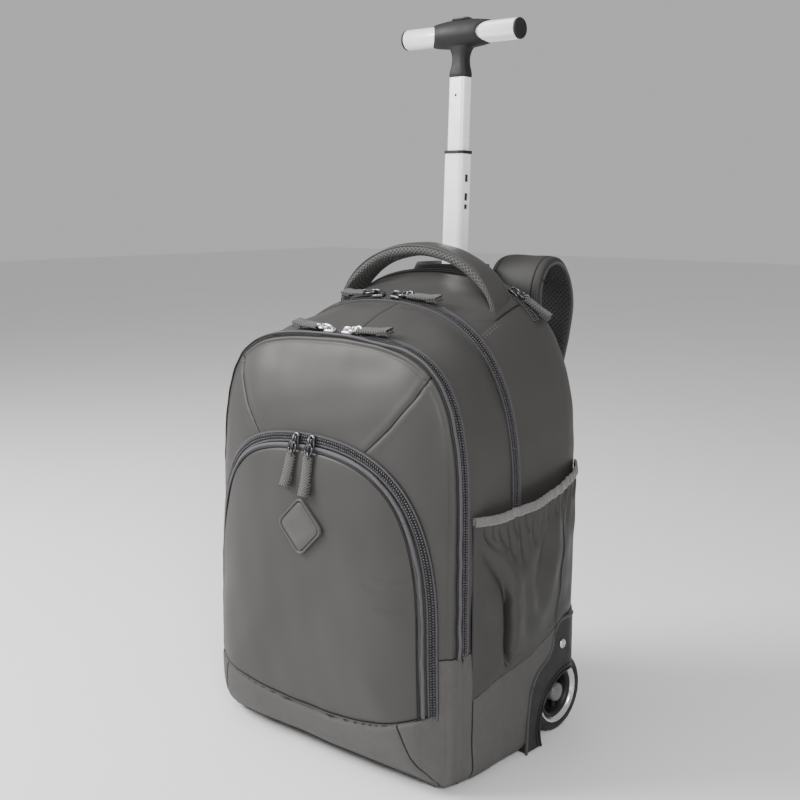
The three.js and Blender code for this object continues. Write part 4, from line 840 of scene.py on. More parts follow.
def side_pocket_surface(shares, ups):
    share, up = np.meshgrid(shares, ups, indexing="ij")
    y = SIDE_FRONT_Y + share * (SIDE_BACK_Y - SIDE_FRONT_Y)
    low = np.interp(y, side_base_seam[:, 0], side_base_seam[:, 1])
    high = SIDE_TRIM_FRONT + share**2 * (SIDE_TRIM_BACK - SIDE_TRIM_FRONT)
    z = low + up * (high - low)
    half = np.interp(y, section_y, body_sections[:, 1]) * BODY_HALF_WIDTH
    swell = SIDE_BULGE * np.sin(np.pi * share) ** 0.6 * np.sin(up * np.pi / 2) ** 0.5
    flat = np.stack([y, z], axis=-1)
    lift = np.zeros(share.shape)
    for line, depth, width in folds:
        lift -= depth * tapered(flat, line, width)
    beside = distance_to(flat, lip_line, keep_sign=True)
    lip = hump(beside, 5.5, 4.2) * smoothstep(z, 100, 128) * (1 - smoothstep(z, 170, 212))
    lift += 6.0 * lip
    pleats = np.sin(2 * np.pi * (y / 8.5 + 0.5 * np.sin(y / 11.0)))
    lift += 0.6 * pleats * np.exp(-(((1 - up) * (high - low)) / 9.0)) * np.sin(np.pi * share) ** 0.4
    lift += 0.9 * drift(np.stack([y, z, 0 * y], axis=-1), 38, 51)
    held = np.minimum(1, np.sin(np.pi * np.clip(share, 0, 1)) * 4) * smoothstep(up, 0.0, 0.12)
    x = half + 0.6 + np.maximum(swell + lift * held, 0.2)
    return np.stack([x, y - 6.0 * lip, z], axis=-1)


side_shares, side_ups = np.linspace(0, 1, 170), np.linspace(0, 1, 180)
panel = side_pocket_surface(side_shares, side_ups)
lining = panel[:, ::-1] - (1.0, 0, 0)
wall = np.concatenate([panel, lining], axis=1)
top_line = panel[:, -1]
TRIM_PROFILE = [
    (-1.2, -1.5), (1.4, -1.2), (2.2, 1.0), (2.3, 4.0), (2.0, 7.2), (0.8, 8.2), (-0.9, 7.9), (-1.3, 4.0)
]
trim_rows = np.stack([top_line + (out, 0.0, up) for out, up in TRIM_PROFILE], axis=1)
trim_rows[:, :, 0] += 0.15 * np.sin(2 * np.pi * top_line[:, 1] / 8.5)[:, None]
for side, sign in (("right", 1), ("left", -1)):
    mirror = (sign, 1, 1)
    shape = wall.shape[:2]
    marks = {
        "twill": np.full(shape, -FAR),
        "seam_a": np.full(shape, FAR),
        "seam_b": wall[..., 1] - 47.0,
        "seam_c": np.full(shape, FAR),
    }
    pocket_piece = add_piece(
        f"side_pocket_panel_{side}", wall * mirror, grid_faces(*shape), side_cloth,
        marks=marks
    )
    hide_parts(f"side_pocket_{side}")
    marks = {
        "along": np.repeat(top_line[:, 1], len(TRIM_PROFILE)),
        "across": np.tile([0, 1, 2, 4, 7, 9, 11, 14], len(top_line)),
    }
    faces = grid_faces(*trim_rows.shape[:2], closed_columns=True)
    trim = add_piece(f"elastic_trim_{side}", trim_rows * mirror, faces, elastic, marks=marks)
    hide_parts(f"pocket_trim_{side}")

# Carry handle. A padded band of smooth cloth on top with knitted spacer mesh below and round its front,
# flattened at both ends and sewn into the seams of the patch on top of the bag.
HANDLE_Y, HANDLE_HALF_SPAN, HANDLE_RISE = 34.0, 106.0, 45.0
HANDLE_WIDTH, HANDLE_THICK = 32.0, 12.0


def spacer_mesh(name, colour, hole, pitch):
    """Knitted spacer mesh: raised strands crossing in diamonds over dark holes."""
    mesh = Finish(name, colour, 0.7, Sheen_Weight=0.1)
    along, across = (mesh.attribute(mark) for mark in ("along", "across"))
    turn = math.pi / pitch
    first = abs(((along + across) * turn).wave())
    second = abs(((along - across) * turn).wave())
    strand = (first * -1.0).larger(second * -1.0).between(-0.62, -0.3)
    tone = strand.between(0.0, 1.0, hole, 1.0) * mesh.noise(2.0).between(0.2, 0.8, 0.85, 1.15)
    mesh.feed("Base Color", mesh.shade(tone))
    mesh.bump(strand, 0.9)
    return mesh


air_mesh = spacer_mesh("handle_mesh", (0.088, 0.085, 0.082), 0.12, 5.4)


def sweep(path, sideways, outward, profile):
    """A band whose section (distance sideways, distance outwards) is carried along a path."""
    path, sideways, outward = (np.asarray(part, float)[:, None, :] for part in (path, sideways, outward))
    if np.ndim(profile[0]) == 1:
        profile = [profile] * len(path)
    section = np.asarray(profile, float)
    return path + sideways * section[..., :1] + outward * section[..., 1:]


def body_top(x, y):
    """Height of the body's upper surface."""
    ring = body_ring(y)
    upper = ring[RING_COUNT // 4 : RING_COUNT // 2 + 1]
    return float(np.interp(abs(x), upper[::-1, 0], upper[::-1, 1]))


root_z = body_top(HANDLE_HALF_SPAN, HANDLE_Y) - HANDLE_THICK
arch_rise = body_top(0, HANDLE_Y) + HANDLE_RISE - root_z - HANDLE_THICK
turn = np.linspace(0.03, np.pi - 0.03, 120)
handle_path = np.c_[
    -HANDLE_HALF_SPAN * np.cos(turn), np.full(len(turn), HANDLE_Y), root_z + arch_rise * np.sin(turn) ** 1.1
]
handle_way = unit(np.gradient(handle_path, axis=0))
handle_side = np.tile([0.0, 1.0, 0.0], (len(turn), 1))
handle_out = np.c_[-handle_way[:, 2], np.zeros(len(turn)), handle_way[:, 0]]
handle_run = np.r_[0, np.cumsum(np.linalg.norm(np.diff(handle_path, axis=0), axis=1))]
near_root = smoothstep(np.abs(handle_path[:, 0]), 78, 104)


def handle_band(name, start, stop, finish, proud, marks=None):
    """Part of the handle's skin, from one angle round its section to another."""
    angles = np.radians(np.linspace(start, stop, 28))
    profiles = []
    for flat in near_root:
        half, thick = HANDLE_WIDTH / 2 + 2 * flat + proud, (HANDLE_THICK / 2 + 1.0) * (
            1 - 0.45 * flat
        ) + proud
        side = half * np.sign(np.cos(angles)) * np.abs(np.cos(angles)) ** 0.75
        profiles.append(np.c_[side, thick * np.sign(np.sin(angles)) * np.abs(np.sin(angles)) ** 0.8])
    skin = sweep(handle_path, handle_side, handle_out, profiles)
    skin += handle_out[:, None] * (0.35 * drift(skin, 26, 61))[..., None]
    around = np.linspace(0, (stop - start) / 360 * 74, len(angles))
    marks = {"along": np.repeat(handle_run, len(angles)), "across": np.tile(around, len(turn))}
    marks.update({"twill": np.full(skin.shape[:2], -FAR)})
    marks.update({seam: np.full(skin.shape[:2], FAR) for seam in ("seam_a", "seam_b", "seam_c")})
    return add_piece(name, skin, grid_faces(*skin.shape[:2]), finish, marks=marks)


handle_mesh = handle_band("handle_mesh_skin", 148, 392, air_mesh, 0.0)
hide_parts("carry_handle")
handle_top = handle_band("handle_top_skin", 28, 152, cloth, 0.5)


def tube(path, radius, sides=8, closed=False):
    """A round cord along a path."""
    path = np.asarray(path, float)
    way = np.roll(path, -1, axis=0) - np.roll(path, 1, axis=0) if closed else np.gradient(path, axis=0)
    way = unit(way)
    up = np.tile([0.0, 0.0, 1.0], (len(path), 1))
    up[np.abs(way[:, 2]) > 0.9] = (0.0, 1.0, 0.0)
    sideways = unit(np.cross(way, up))
    over = np.cross(sideways, way)
    turn = np.linspace(0, 2 * np.pi, sides, endpoint=False)
    ring = path[:, None] + radius * (
        sideways[:, None] * np.cos(turn)[None, :, None] + over[:, None] * np.sin(turn)[None, :, None]
    )
    return ring.reshape(-1, 3), grid_faces(len(path), sides, closed_rows=closed, closed_columns=True)


def together(*shapes):
    """Several sets of points and faces as one."""
    points, faces, count = [], [], 0
    for some, their in shapes:
        some = np.asarray(some, float).reshape(-1, 3)
        points.append(some)
        faces.extend((np.asarray(their) + count).tolist())
        count += len(some)
    return np.concatenate(points), faces


thread = Finish("sewing_thread", (0.10, 0.097, 0.094), 0.6, Sheen_Weight=0.3)
thread.feed("Base Color", thread.shade(thread.noise(1.0).between(0.2, 0.8, 0.8, 1.2)))


def stitches(name, line, outward, length=2.6, gap=1.3, thick=0.34):
    """A row of short stitches on a line of points."""
    line, outward = np.asarray(line, float), np.asarray(outward, float)
    run = np.linalg.norm(np.diff(line, axis=0), axis=1).sum()
    count = max(2, int(run / (length + gap)))
    places = resample(line, count)
    normals = unit(resample(outward, count)) if outward.ndim == 2 else np.tile(unit(outward), (count, 1))
    way = unit(np.gradient(places, axis=0))
    sideways = unit(np.cross(way, normals))
    points, faces = beads(places + normals * 0.15, [way, sideways, normals], (length / 2, thick, thick))
    return add_piece(name, points, faces, thread)


binding = Finish("edge_binding", (0.028, 0.027, 0.027), 0.7, Sheen_Weight=0.2)
binding.feed("Base Color", binding.shade(binding.noise(1.4).between(0.2, 0.8, 0.85, 1.15)))
binding.bump(binding.noise(0.9), 0.15)
for edge, angle in (("front", 150), ("back", 30)):
    side = np.cos(np.radians(angle))
    rise = np.sin(np.radians(angle))
    offset = [
        (
            (HANDLE_WIDTH / 2 + 2 * flat + 0.6) * np.sign(side) * abs(side) ** 0.75,
            ((HANDLE_THICK / 2 + 1.0) * (1 - 0.45 * flat) + 0.6) * rise**0.8,
        )
        for flat in near_root
    ]
    line = np.array([
        place + across * a + out * b
        for place, across, out, (a, b) in zip(handle_path, handle_side, handle_out, offset)
    ])
    points, faces = tube(line, 0.9)
    add_piece(f"handle_piping_{edge}", points, faces, binding)

for side in (-1, 1):
    for number, shift in enumerate((2.2, 4.6)):
        stops = np.linspace(MAIN_ZIP_Y + 12, LAPTOP_ZIP_Y - 8, 60)
        line = [(side * (PATCH_SEAM_X + shift), y, body_top(PATCH_SEAM_X + shift, y) + 0.2) for y in stops]
        stitches(f"patch_stitches_{'left' if side < 0 else 'right'}_{number}", line, (side * 0.5, 0.0, 0.85))

# Rolled edges of the front panel and of its pocket along their zippers, bound in a strip of the zipper's own
# cloth between two thin near-black tubes that are painted shadow along the stitched edges.
rim_binding = Finish("rim_binding", (0.062, 0.060, 0.066), 0.7, Sheen_Weight=0.1)
rim_binding.feed("Base Color", rim_binding.shade(rim_binding.noise(1.4).between(0.2, 0.8, 0.85, 1.15)))
rim_binding.bump(rim_binding.noise(1.0), 0.2)
# Painted shadow: a near-black finish for the thin tubes that stand for the shadow beside the rolled edges.
seam_shadow = Finish("painted_seam_shadow", (0.007, 0.007, 0.0075), 0.8)
seam_shadow.feed("Base Color", seam_shadow.shade(seam_shadow.noise(1.0).between(0.2, 0.8, 0.8, 1.2)))
RIM_DIP = 2.4


def body_rim(grow, ahead):
    """The line of the front panel's edge, with its dip right of the sliders and a sewn unevenness."""
    rim = body_ring(FRONT_ZIP_Y, grow, 900)
    rim = rim[rim[:, 1] > CORNER_PANEL_TOP - 1]
    rim = rim[np.argsort(np.arctan2(rim[:, 0], rim[:, 1] - FACE_CENTRE_Z))]
    line = np.c_[rim[:, 0], np.full(len(rim), FRONT_ZIP_Y - FRONT_BAND - ahead), rim[:, 1]]
    line[:, 2] -= RIM_DIP * hump(line[:, 0], 62, 26) * (line[:, 2] > 380)
    line[:, 1] += 0.4 * drift(line, 24, 33)
    return line


def pocket_rim(grow, proud):
    """The line of the pocket's edge above its base seam."""
    ring = pocket_ring(grow, 800)
    ring = ring[ring[:, 1] > front_base_z(ring[:, 0]) - 1]
    ring = ring[np.argsort(np.arctan2(ring[:, 0], ring[:, 1] - pocket_centre_z))]
    line = np.c_[ring[:, 0], face_y(ring[:, 0], ring[:, 1]) - proud, ring[:, 1]]
    line[:, 1] += 0.3 * drift(line, 26, 35)
    return line


for name, line, radius, finish in (
    ("front_rim_binding", body_rim(1.0, 1.2), 2.2, rim_binding),
    ("front_rim_shadow_outer", body_rim(1.2, 3.9), 0.95, seam_shadow),
    ("front_rim_shadow_inner", body_rim(2.0, -1.3), 0.8, seam_shadow),
    ("pocket_rim_binding", pocket_rim(0.6, 3.9), 1.9, rim_binding),
    ("pocket_rim_shadow", pocket_rim(-2.1, 5.4), 0.95, seam_shadow),
):
    points, faces = tube(line, radius, 12)
    add_piece(name, points, faces, finish)

# Shoulder straps. Foam pads faced with smooth cloth and lined with black spacer mesh, bound along both edges.
# The right one springs up in a loop behind the bag; the left one lies against the back.
STRAP_X, STRAP_WIDTH, STRAP_THICK = 67.0, 68.0, 11.0
right_strap_line = [
    (0.02, 0.845), (0.0, 0.91), (0.01, 0.97), (0.12, 1.015), (0.29, 1.022), (0.43, 0.99), (0.5, 0.93),
    (0.46, 0.86), (0.35, 0.78), (0.25, 0.69), (0.19, 0.6), (0.17, 0.53), (0.165, 0.46),
]
left_strap_line = [
    (0.02, 0.845), (0.02, 0.9), (0.08, 0.94), (0.17, 0.93), (0.22, 0.87), (0.22, 0.78), (0.19, 0.67),
    (0.17, 0.56), (0.165, 0.46),
]
strap_mesh = spacer_mesh("strap_lining_mesh", (0.022, 0.022, 0.023), 0.15, 5.6)


def smooth_line(points, count):
    """Evenly spaced points on a centripetal curve through the given points."""
    points = np.asarray(points, float)
    points = np.r_[[2 * points[0] - points[1]], points, [2 * points[-1] - points[-2]]]
    knots = np.r_[0, np.cumsum(np.linalg.norm(np.diff(points, axis=0), axis=1) ** 0.5)]
    dense = []
    for i in range(1, len(points) - 2):
        t = np.linspace(knots[i], knots[i + 1], 40)[:, None]
        (p0, p1, p2, p3), (t0, t1, t2, t3) = points[i - 1 : i + 3], knots[i - 1 : i + 3]
        a = (t1 - t) / (t1 - t0) * p0 + (t - t0) / (t1 - t0) * p1
        b = (t2 - t) / (t2 - t1) * p1 + (t - t1) / (t2 - t1) * p2
        c = (t3 - t) / (t3 - t2) * p2 + (t - t2) / (t3 - t2) * p3
        d = (t2 - t) / (t2 - t0) * a + (t - t0) / (t2 - t0) * b
        e = (t3 - t) / (t3 - t1) * b + (t - t1) / (t3 - t1) * c
        dense.append((t2 - t) / (t2 - t1) * d + (t - t1) / (t2 - t1) * e)
    return resample(np.concatenate(dense), count)


def side_strip(x, line, count):
    """Path, sideways and outward directions of a band whose line lies in an upright plane."""
    flat = smooth_line(line, count)
    path = np.c_[np.full(count, x), flat]
    way = unit(np.gradient(path, axis=0))
    return path, np.tile([1.0, 0.0, 0.0], (count, 1)), np.c_[np.zeros(count), way[:, 2], -way[:, 1]]


def strap_skin(name, strip, start, stop, finish, proud):
    """Part of a strap's skin, from one angle round its section to another."""
    path, sideways, outward = strip
    count = len(path)
    angles = np.radians(np.linspace(start, stop, 40))
    taper = 1 - 0.42 * smoothstep(np.arange(count), count * 0.84, count * 1.02)
    profiles = []
    for size in taper:
        across = (STRAP_WIDTH / 2 * size + proud) * np.sign(np.cos(angles)) * np.abs(np.cos(angles)) ** 0.55
        thick = (STRAP_THICK / 2 * size**0.6 + proud) * np.sign(np.sin(angles)) * np.abs(
            np.sin(angles)
        ) ** 0.62
        profiles.append(np.c_[across, thick])
    skin = sweep(path, sideways, outward, profiles)
    skin += outward[:, None] * (0.5 * drift(skin, 44, 71))[..., None]
    run = np.r_[0, np.cumsum(np.linalg.norm(np.diff(path, axis=0), axis=1))]
    marks = {"along": np.repeat(run, len(angles)), "across": np.tile(profiles[0][:, 0], count)}
    marks["twill"] = np.full(skin.shape[:2], -FAR)
    marks["seam_a"] = np.abs(np.tile(profiles[0][:, 0], (count, 1))) - (STRAP_WIDTH / 2 - 8.0)
    marks.update({seam: np.full(skin.shape[:2], FAR) for seam in ("seam_b", "seam_c")})
    skin_piece = add_piece(name, skin, grid_faces(*skin.shape[:2]), finish, marks=marks)
    return skin_piece


# Painted shade: a darker copy of the coated cloth, its lower colour standing for the shade on the straps'
# faces.
shaded_strap_cloth = coated_cloth("shaded_strap_cloth", (0.0290, 0.0277, 0.0268), 0.56)
for side, sign, line in (("right", 1, right_strap_line), ("left", -1, left_strap_line)):
    places = [(BACK_Y + back * REAR_DEPTH, up * BODY_HEIGHT) for back, up in line]
    strip = side_strip(sign * STRAP_X, places, 150)
    face_skin = strap_skin(f"strap_face_{side}", strip, 168, 372, shaded_strap_cloth, 0.0)
    strap_skin(f"strap_lining_{side}", strip, 12, 168, strap_mesh, -0.2)
    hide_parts(f"shoulder_strap_{side}")
    path, sideways, outward = strip
    taper = 1 - 0.42 * smoothstep(np.arange(150), 126, 153)
    for edge in (-1, 1):
        line_at = path + sideways * (edge * (STRAP_WIDTH / 2 * taper - 0.4))[:, None] + outward * 1.6
        points, faces = tube(line_at, 1.7)
        name = f"strap_binding_{side}_{'outer' if edge == sign else 'inner'}"
        add_piece(name, points, faces, binding)

# Webbing and ladder buckles, from each strap's foot down to the back panel above the wheel housing.
WEBBING_WIDTH, WEBBING_THICK, ANCHOR_RISE = 25.0, 2.0, 30.0
BUCKLE_MARGIN, BUCKLE_HEIGHT, BUCKLE_THICK, BUCKLE_DROP = 5.0, 26.0, 3.0, 22.0
webbing = Finish("woven_webbing", (0.030, 0.030, 0.031), 0.65, Sheen_Weight=0.25)
along, across = (webbing.attribute(mark) for mark in ("along", "across"))
chevron = ((along + abs(across)) * (2 * math.pi / 2.4)).wave() * 0.5 + 0.5
ridges_across = (across * (2 * math.pi / 1.8)).wave() * 0.5 + 0.5
webbing.feed(
    "Base Color", webbing.shade(chevron.between(0, 1, 0.7, 1.2) * ridges_across.between(0, 1, 0.85, 1.1))
)
webbing.bump(chevron + ridges_across * 0.6, 0.35)
black_plastic = Finish("black_plastic", (0.0075, 0.0075, 0.008), 0.48, Specular_IOR_Level=0.36)
moulded = black_plastic.noise(0.9, 2.0)
black_plastic.feed("Base Color", black_plastic.shade(black_plastic.noise(30.0).between(0.2, 0.8, 0.9, 1.12)))
black_plastic.feed("Roughness", black_plastic.noise(14.0).between(0.2, 0.8, 0.42, 0.56))
black_plastic.bump(moulded, 0.12)


def superellipse(width, height, corner, count=96):
    """A rectangle with round corners, as points round its edge."""
    turn = np.linspace(0, 2 * np.pi, count, endpoint=False)
    x, y = np.cos(turn), np.sin(turn)
    corner_x, corner_y = width / 2 - corner, height / 2 - corner
    return np.c_[np.sign(x) * corner_x + corner * x, np.sign(y) * corner_y + corner * y]


def plate(inner, outer, levels):
    """Faces between two closed outlines, given as heights and how far each level's edges are drawn in."""
    rows = []
    middle = outer.mean(axis=0)
    for height, draw in levels:
        step = draw * unit(outer - middle)
        rows.append(np.c_[outer - step, np.full(len(outer), height)])
    for height, draw in reversed(levels):
        step = draw * unit(inner - middle)
        rows.append(np.c_[inner + step, np.full(len(inner), height)])
    return np.array(rows), grid_faces(len(rows), len(outer), closed_rows=True, closed_columns=True)


strap_foot = (BACK_Y + 0.165 * REAR_DEPTH, 0.46 * BODY_HEIGHT)
buckle_z = strap_foot[1] - BUCKLE_DROP
anchor_z = HOUSING_TOP + ANCHOR_RISE
rounded_levels = [(0.0, 0.5), (0.6, 0.0), (BUCKLE_THICK - 0.6, 0.0), (BUCKLE_THICK, 0.5)]
for side, sign in (("right", 1), ("left", -1)):
    y, top = strap_foot
    low = buckle_z - 0.54 * BUCKLE_HEIGHT
    line = [
        (y, top - 0.4), (y, buckle_z + 0.27 * BUCKLE_HEIGHT), (y, buckle_z - 0.27 * BUCKLE_HEIGHT), (y, low),
        ((y + BACK_Y) / 2 + WEBBING_THICK, (low + anchor_z) / 2), (BACK_Y + 1.6, anchor_z),
        (BACK_Y + 1.6, anchor_z - ANCHOR_RISE / 2),
    ]
    strip = side_strip(sign * STRAP_X, line, 90)
    half, thick = WEBBING_WIDTH / 2, WEBBING_THICK / 2
    profile = [(-half, -0.6 * thick), (-half, 0.6 * thick), (-half + 0.5, thick)]
    profile += [(a, thick) for a in np.linspace(-half + 3, half - 3, 5)]
    profile += [
        (half - 0.5, thick), (half, 0.6 * thick), (half, -0.6 * thick), (half - 0.5, -thick),
        (-half + 0.5, -thick)
    ]
    band = sweep(*strip, profile)
    marks = {
        "along": np.repeat(np.linspace(0, 120, 90), len(profile)),
        "across": np.tile([a for a, _ in profile], 90),
    }
    strap_webbing = add_piece(
        f"webbing_{side}", band, grid_faces(*band.shape[:2], closed_columns=True), webbing,
        marks=marks
    )
    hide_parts(f"strap_webbing_{side}")
    frame_outer = superellipse(WEBBING_WIDTH + 2 * BUCKLE_MARGIN, BUCKLE_HEIGHT, 4.0)
    frame_inner = superellipse(WEBBING_WIDTH + 2, BUCKLE_HEIGHT - 8, 1.5)
    ladder, ladder_faces = plate(frame_inner, frame_outer, rounded_levels)
    rung_points, rung_faces = tube(
        [(-15, 0, BUCKLE_THICK / 2), (0, 0, BUCKLE_THICK / 2), (15, 0, BUCKLE_THICK / 2)], 1.5, 12
    )
    points, faces = together((ladder, ladder_faces), (rung_points, rung_faces))
    placed = np.c_[points[:, 0] + sign * STRAP_X, y + 1.7 + points[:, 2], buckle_z + points[:, 1]]
    buckle = add_piece(f"ladder_buckle_{side}", placed, faces, black_plastic)
    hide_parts(f"strap_buckle_{side}")

# Back pads. Two foam cushions under spacer mesh, held down round their edges. A cloth simulation gives the
# way each point swells, and the cap on its distance, which every point reaches, gives how far.
PAD_HALF_WIDTH, PAD_THICK, PAD_LOW, PAD_HIGH, PAD_CORNER = 50.0, 8.0, 190.0, 385.0, 16.0
PAD_PRESSURE, PAD_SWELL = 4.0, 3.0
pad_mesh = spacer_mesh("pad_mesh", (0.022, 0.022, 0.023), 0.2, 6.0)


def swollen(piece, pressure, most):
    """Swells a closed piece the way a cloth simulation does, each point by at most so many millimetres."""
    remesh = piece.modifiers.new("remesh", "REMESH")
    remesh.mode, remesh.voxel_size = "VOXEL", 5 * MM
    cloth_sim = piece.modifiers.new("cloth", "CLOTH")
    cloth_sim.settings.use_pressure = True
    cloth_sim.settings.uniform_pressure_force = pressure
    cloth_sim.settings.effector_weights.gravity = 0.0
    bpy.context.view_layer.objects.active = piece
    bpy.ops.object.modifier_apply(modifier="remesh")
    rest = np.array([vertex.co for vertex in piece.data.vertices])
    for step in range(1, 21):
        bpy.context.scene.frame_set(step)
    bpy.ops.object.modifier_apply(modifier="cloth")
    moved = np.array([vertex.co for vertex in piece.data.vertices]) - rest
    size = np.linalg.norm(moved, axis=1, keepdims=True)
    kept = rest + moved * np.minimum(1, most * MM / np.maximum(size, 1e-9))
    piece.data.vertices.foreach_set("co", kept.ravel())
    smoother = piece.modifiers.new("smooth", "SUBSURF")
    smoother.levels = smoother.render_levels = 1
    bpy.ops.object.modifier_apply(modifier="smooth")
    piece.data.shade_smooth()
    bpy.context.scene.frame_set(1)


pad_middle_z = (PAD_LOW + PAD_HIGH) / 2
for side, sign in (("right", 1), ("left", -1)):
    rim = superellipse(2 * PAD_HALF_WIDTH - 5, PAD_HIGH - PAD_LOW - 5, PAD_CORNER, 120)
    rows = []
    for share, rise in (
        (0.0, 2.0), (0.5, 2.0), (1.0, 2.0), (1.0, 4.2), (0.94, 5.6), (0.7, 6.4), (0.4, 6.4), (0.0, 6.4)
    ):
        pad_x, pad_z = sign * STRAP_X + rim[:, 0] * share, pad_middle_z + rim[:, 1] * share
        rows.append(np.c_[pad_x, np.full(120, BACK_Y + rise), pad_z])
    cushion = add_piece(
        f"back_cushion_{side}", rows, grid_faces(len(rows), 120, closed_columns=True), pad_mesh,
    )
    weld = cushion.modifiers.new("weld", "WELD")
    bpy.context.view_layer.objects.active = cushion
    bpy.ops.object.modifier_apply(modifier=weld.name)
    swollen(cushion, PAD_PRESSURE, PAD_SWELL)
    shape = np.array([vertex.co for vertex in cushion.data.vertices]) / MM
    channel = hump(shape[:, 2], pad_middle_z - 34, 4.0) + hump(shape[:, 2], pad_middle_z + 34, 4.0)
    face_side = smoothstep(shape[:, 1], BACK_Y + 4, BACK_Y + 6)
    shape[:, 1] = np.clip(shape[:, 1] - 2.4 * channel * face_side, BACK_Y + 0.9, BACK_Y + PAD_THICK + 1.0)
    cushion.data.vertices.foreach_set("co", (shape * MM).ravel())
    for mark, axis in (("along", 2), ("across", 0)):
        layer = cushion.data.attributes.new(mark, "FLOAT", "POINT")
        layer.data.foreach_set("value", shape[:, axis].astype(np.float32))
    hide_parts(f"back_pad_{side}")

# Zip pulls. Cast sliders with a wire link, silver on the front and gunmetal elsewhere, each with a thick
# woven tab whose end is folded over and stitched.
TAB_WIDTH, TAB_REACH = 12.0, 52.0
silver = Finish("polished_zinc", (0.78, 0.78, 0.79), 0.2, 1.0)
silver.feed("Roughness", silver.noise(4.0).between(0.2, 0.8, 0.16, 0.3))
gunmetal = Finish("gunmetal", (0.115, 0.115, 0.12), 0.26, 1.0)
gunmetal.feed("Roughness", gunmetal.noise(4.0).between(0.2, 0.8, 0.22, 0.4))
tab_weave = Finish("woven_tab", (0.050, 0.0485, 0.047), 0.8, Sheen_Weight=0.2)
along, across = (tab_weave.attribute(mark) for mark in ("along", "across"))
warp = (across * (2 * math.pi / 3.6)).wave()
weft = (along * (2 * math.pi / 3.0)).wave()
knots = (warp * weft) * 0.5 + 0.5
tab_weave.feed(
    "Base Color",
    tab_weave.shade(knots.between(0.2, 0.8, 0.4, 1.5) * tab_weave.noise(3.0).between(0, 1, 0.9, 1.1))
)
tab_weave.bump(knots, 1.0)


def ribbon_solid(path, sideways, outward, half_width, half_thick):
    """A flat woven strip, slightly thick, with round edges."""
    a, b = half_width, half_thick
    profile = [
        (-a, -0.4 * b), (-a, 0.4 * b), (-a + 0.6, b), (-a * 0.4, b * 1.05), (0, b * 1.08),
        (a * 0.4, b * 1.05)
    ]
    profile += [(a - 0.6, b), (a, 0.4 * b), (a, -0.4 * b), (a - 0.6, -b), (0, -b), (-a + 0.6, -b)]
    band = sweep(path, sideways, outward, profile)
    run = np.r_[0, np.cumsum(np.linalg.norm(np.diff(path, axis=0), axis=1))]
    marks = {
        "along": np.repeat(run, len(profile)), "across": np.tile([side for side, _ in profile], len(path))
    }
    return band, grid_faces(*band.shape[:2], closed_columns=True), marks


def slider_shapes():
    """The slider's body, its bridge, and the two links, in a frame with X along the tab and Z outwards."""
    turn = np.linspace(0, 2 * np.pi, 48, endpoint=False)
    waist = 1 - 0.22 * np.exp(-((np.cos(turn) + 0.1) ** 2) * 6)
    sole = np.c_[5.6 * np.sign(np.cos(turn)) * np.abs(np.cos(turn)) ** 0.6, 4.1 * waist * np.sin(turn)]
    levels = [(0.0, 0.9), (0.0, 1.0), (0.5, 1.02), (1.6, 1.0), (2.2, 0.9), (2.3, 0.0)]
    rows = [np.c_[sole * size, np.full(len(sole), height)] for height, size in levels]
    body = (np.array(rows) * (1.1, 1.1, 1.1), grid_faces(len(rows), 48, closed_columns=True))
    arch = np.linspace(0, np.pi, 16)
    bridge = tube(np.c_[0.6 - 4.8 * np.cos(arch), np.zeros(16), 1.8 + 3.4 * np.sin(arch) ** 0.8], 1.15, 8)
    link_turn = np.linspace(0, 2 * np.pi, 30, endpoint=False)
    link = tube(
        np.c_[7.2 + 4.8 * np.cos(link_turn), 4.2 * np.sin(link_turn), 4.2 + 0 * link_turn], 1.15, 8, True
    )
    ring = tube(
        np.c_[12.0 + 2.8 * np.cos(link_turn), 2.0 * np.sin(link_turn), 4.2 + 2.0 * np.sin(link_turn)], 0.9,
        8, True
    )
    return together(body, bridge, link, ring)


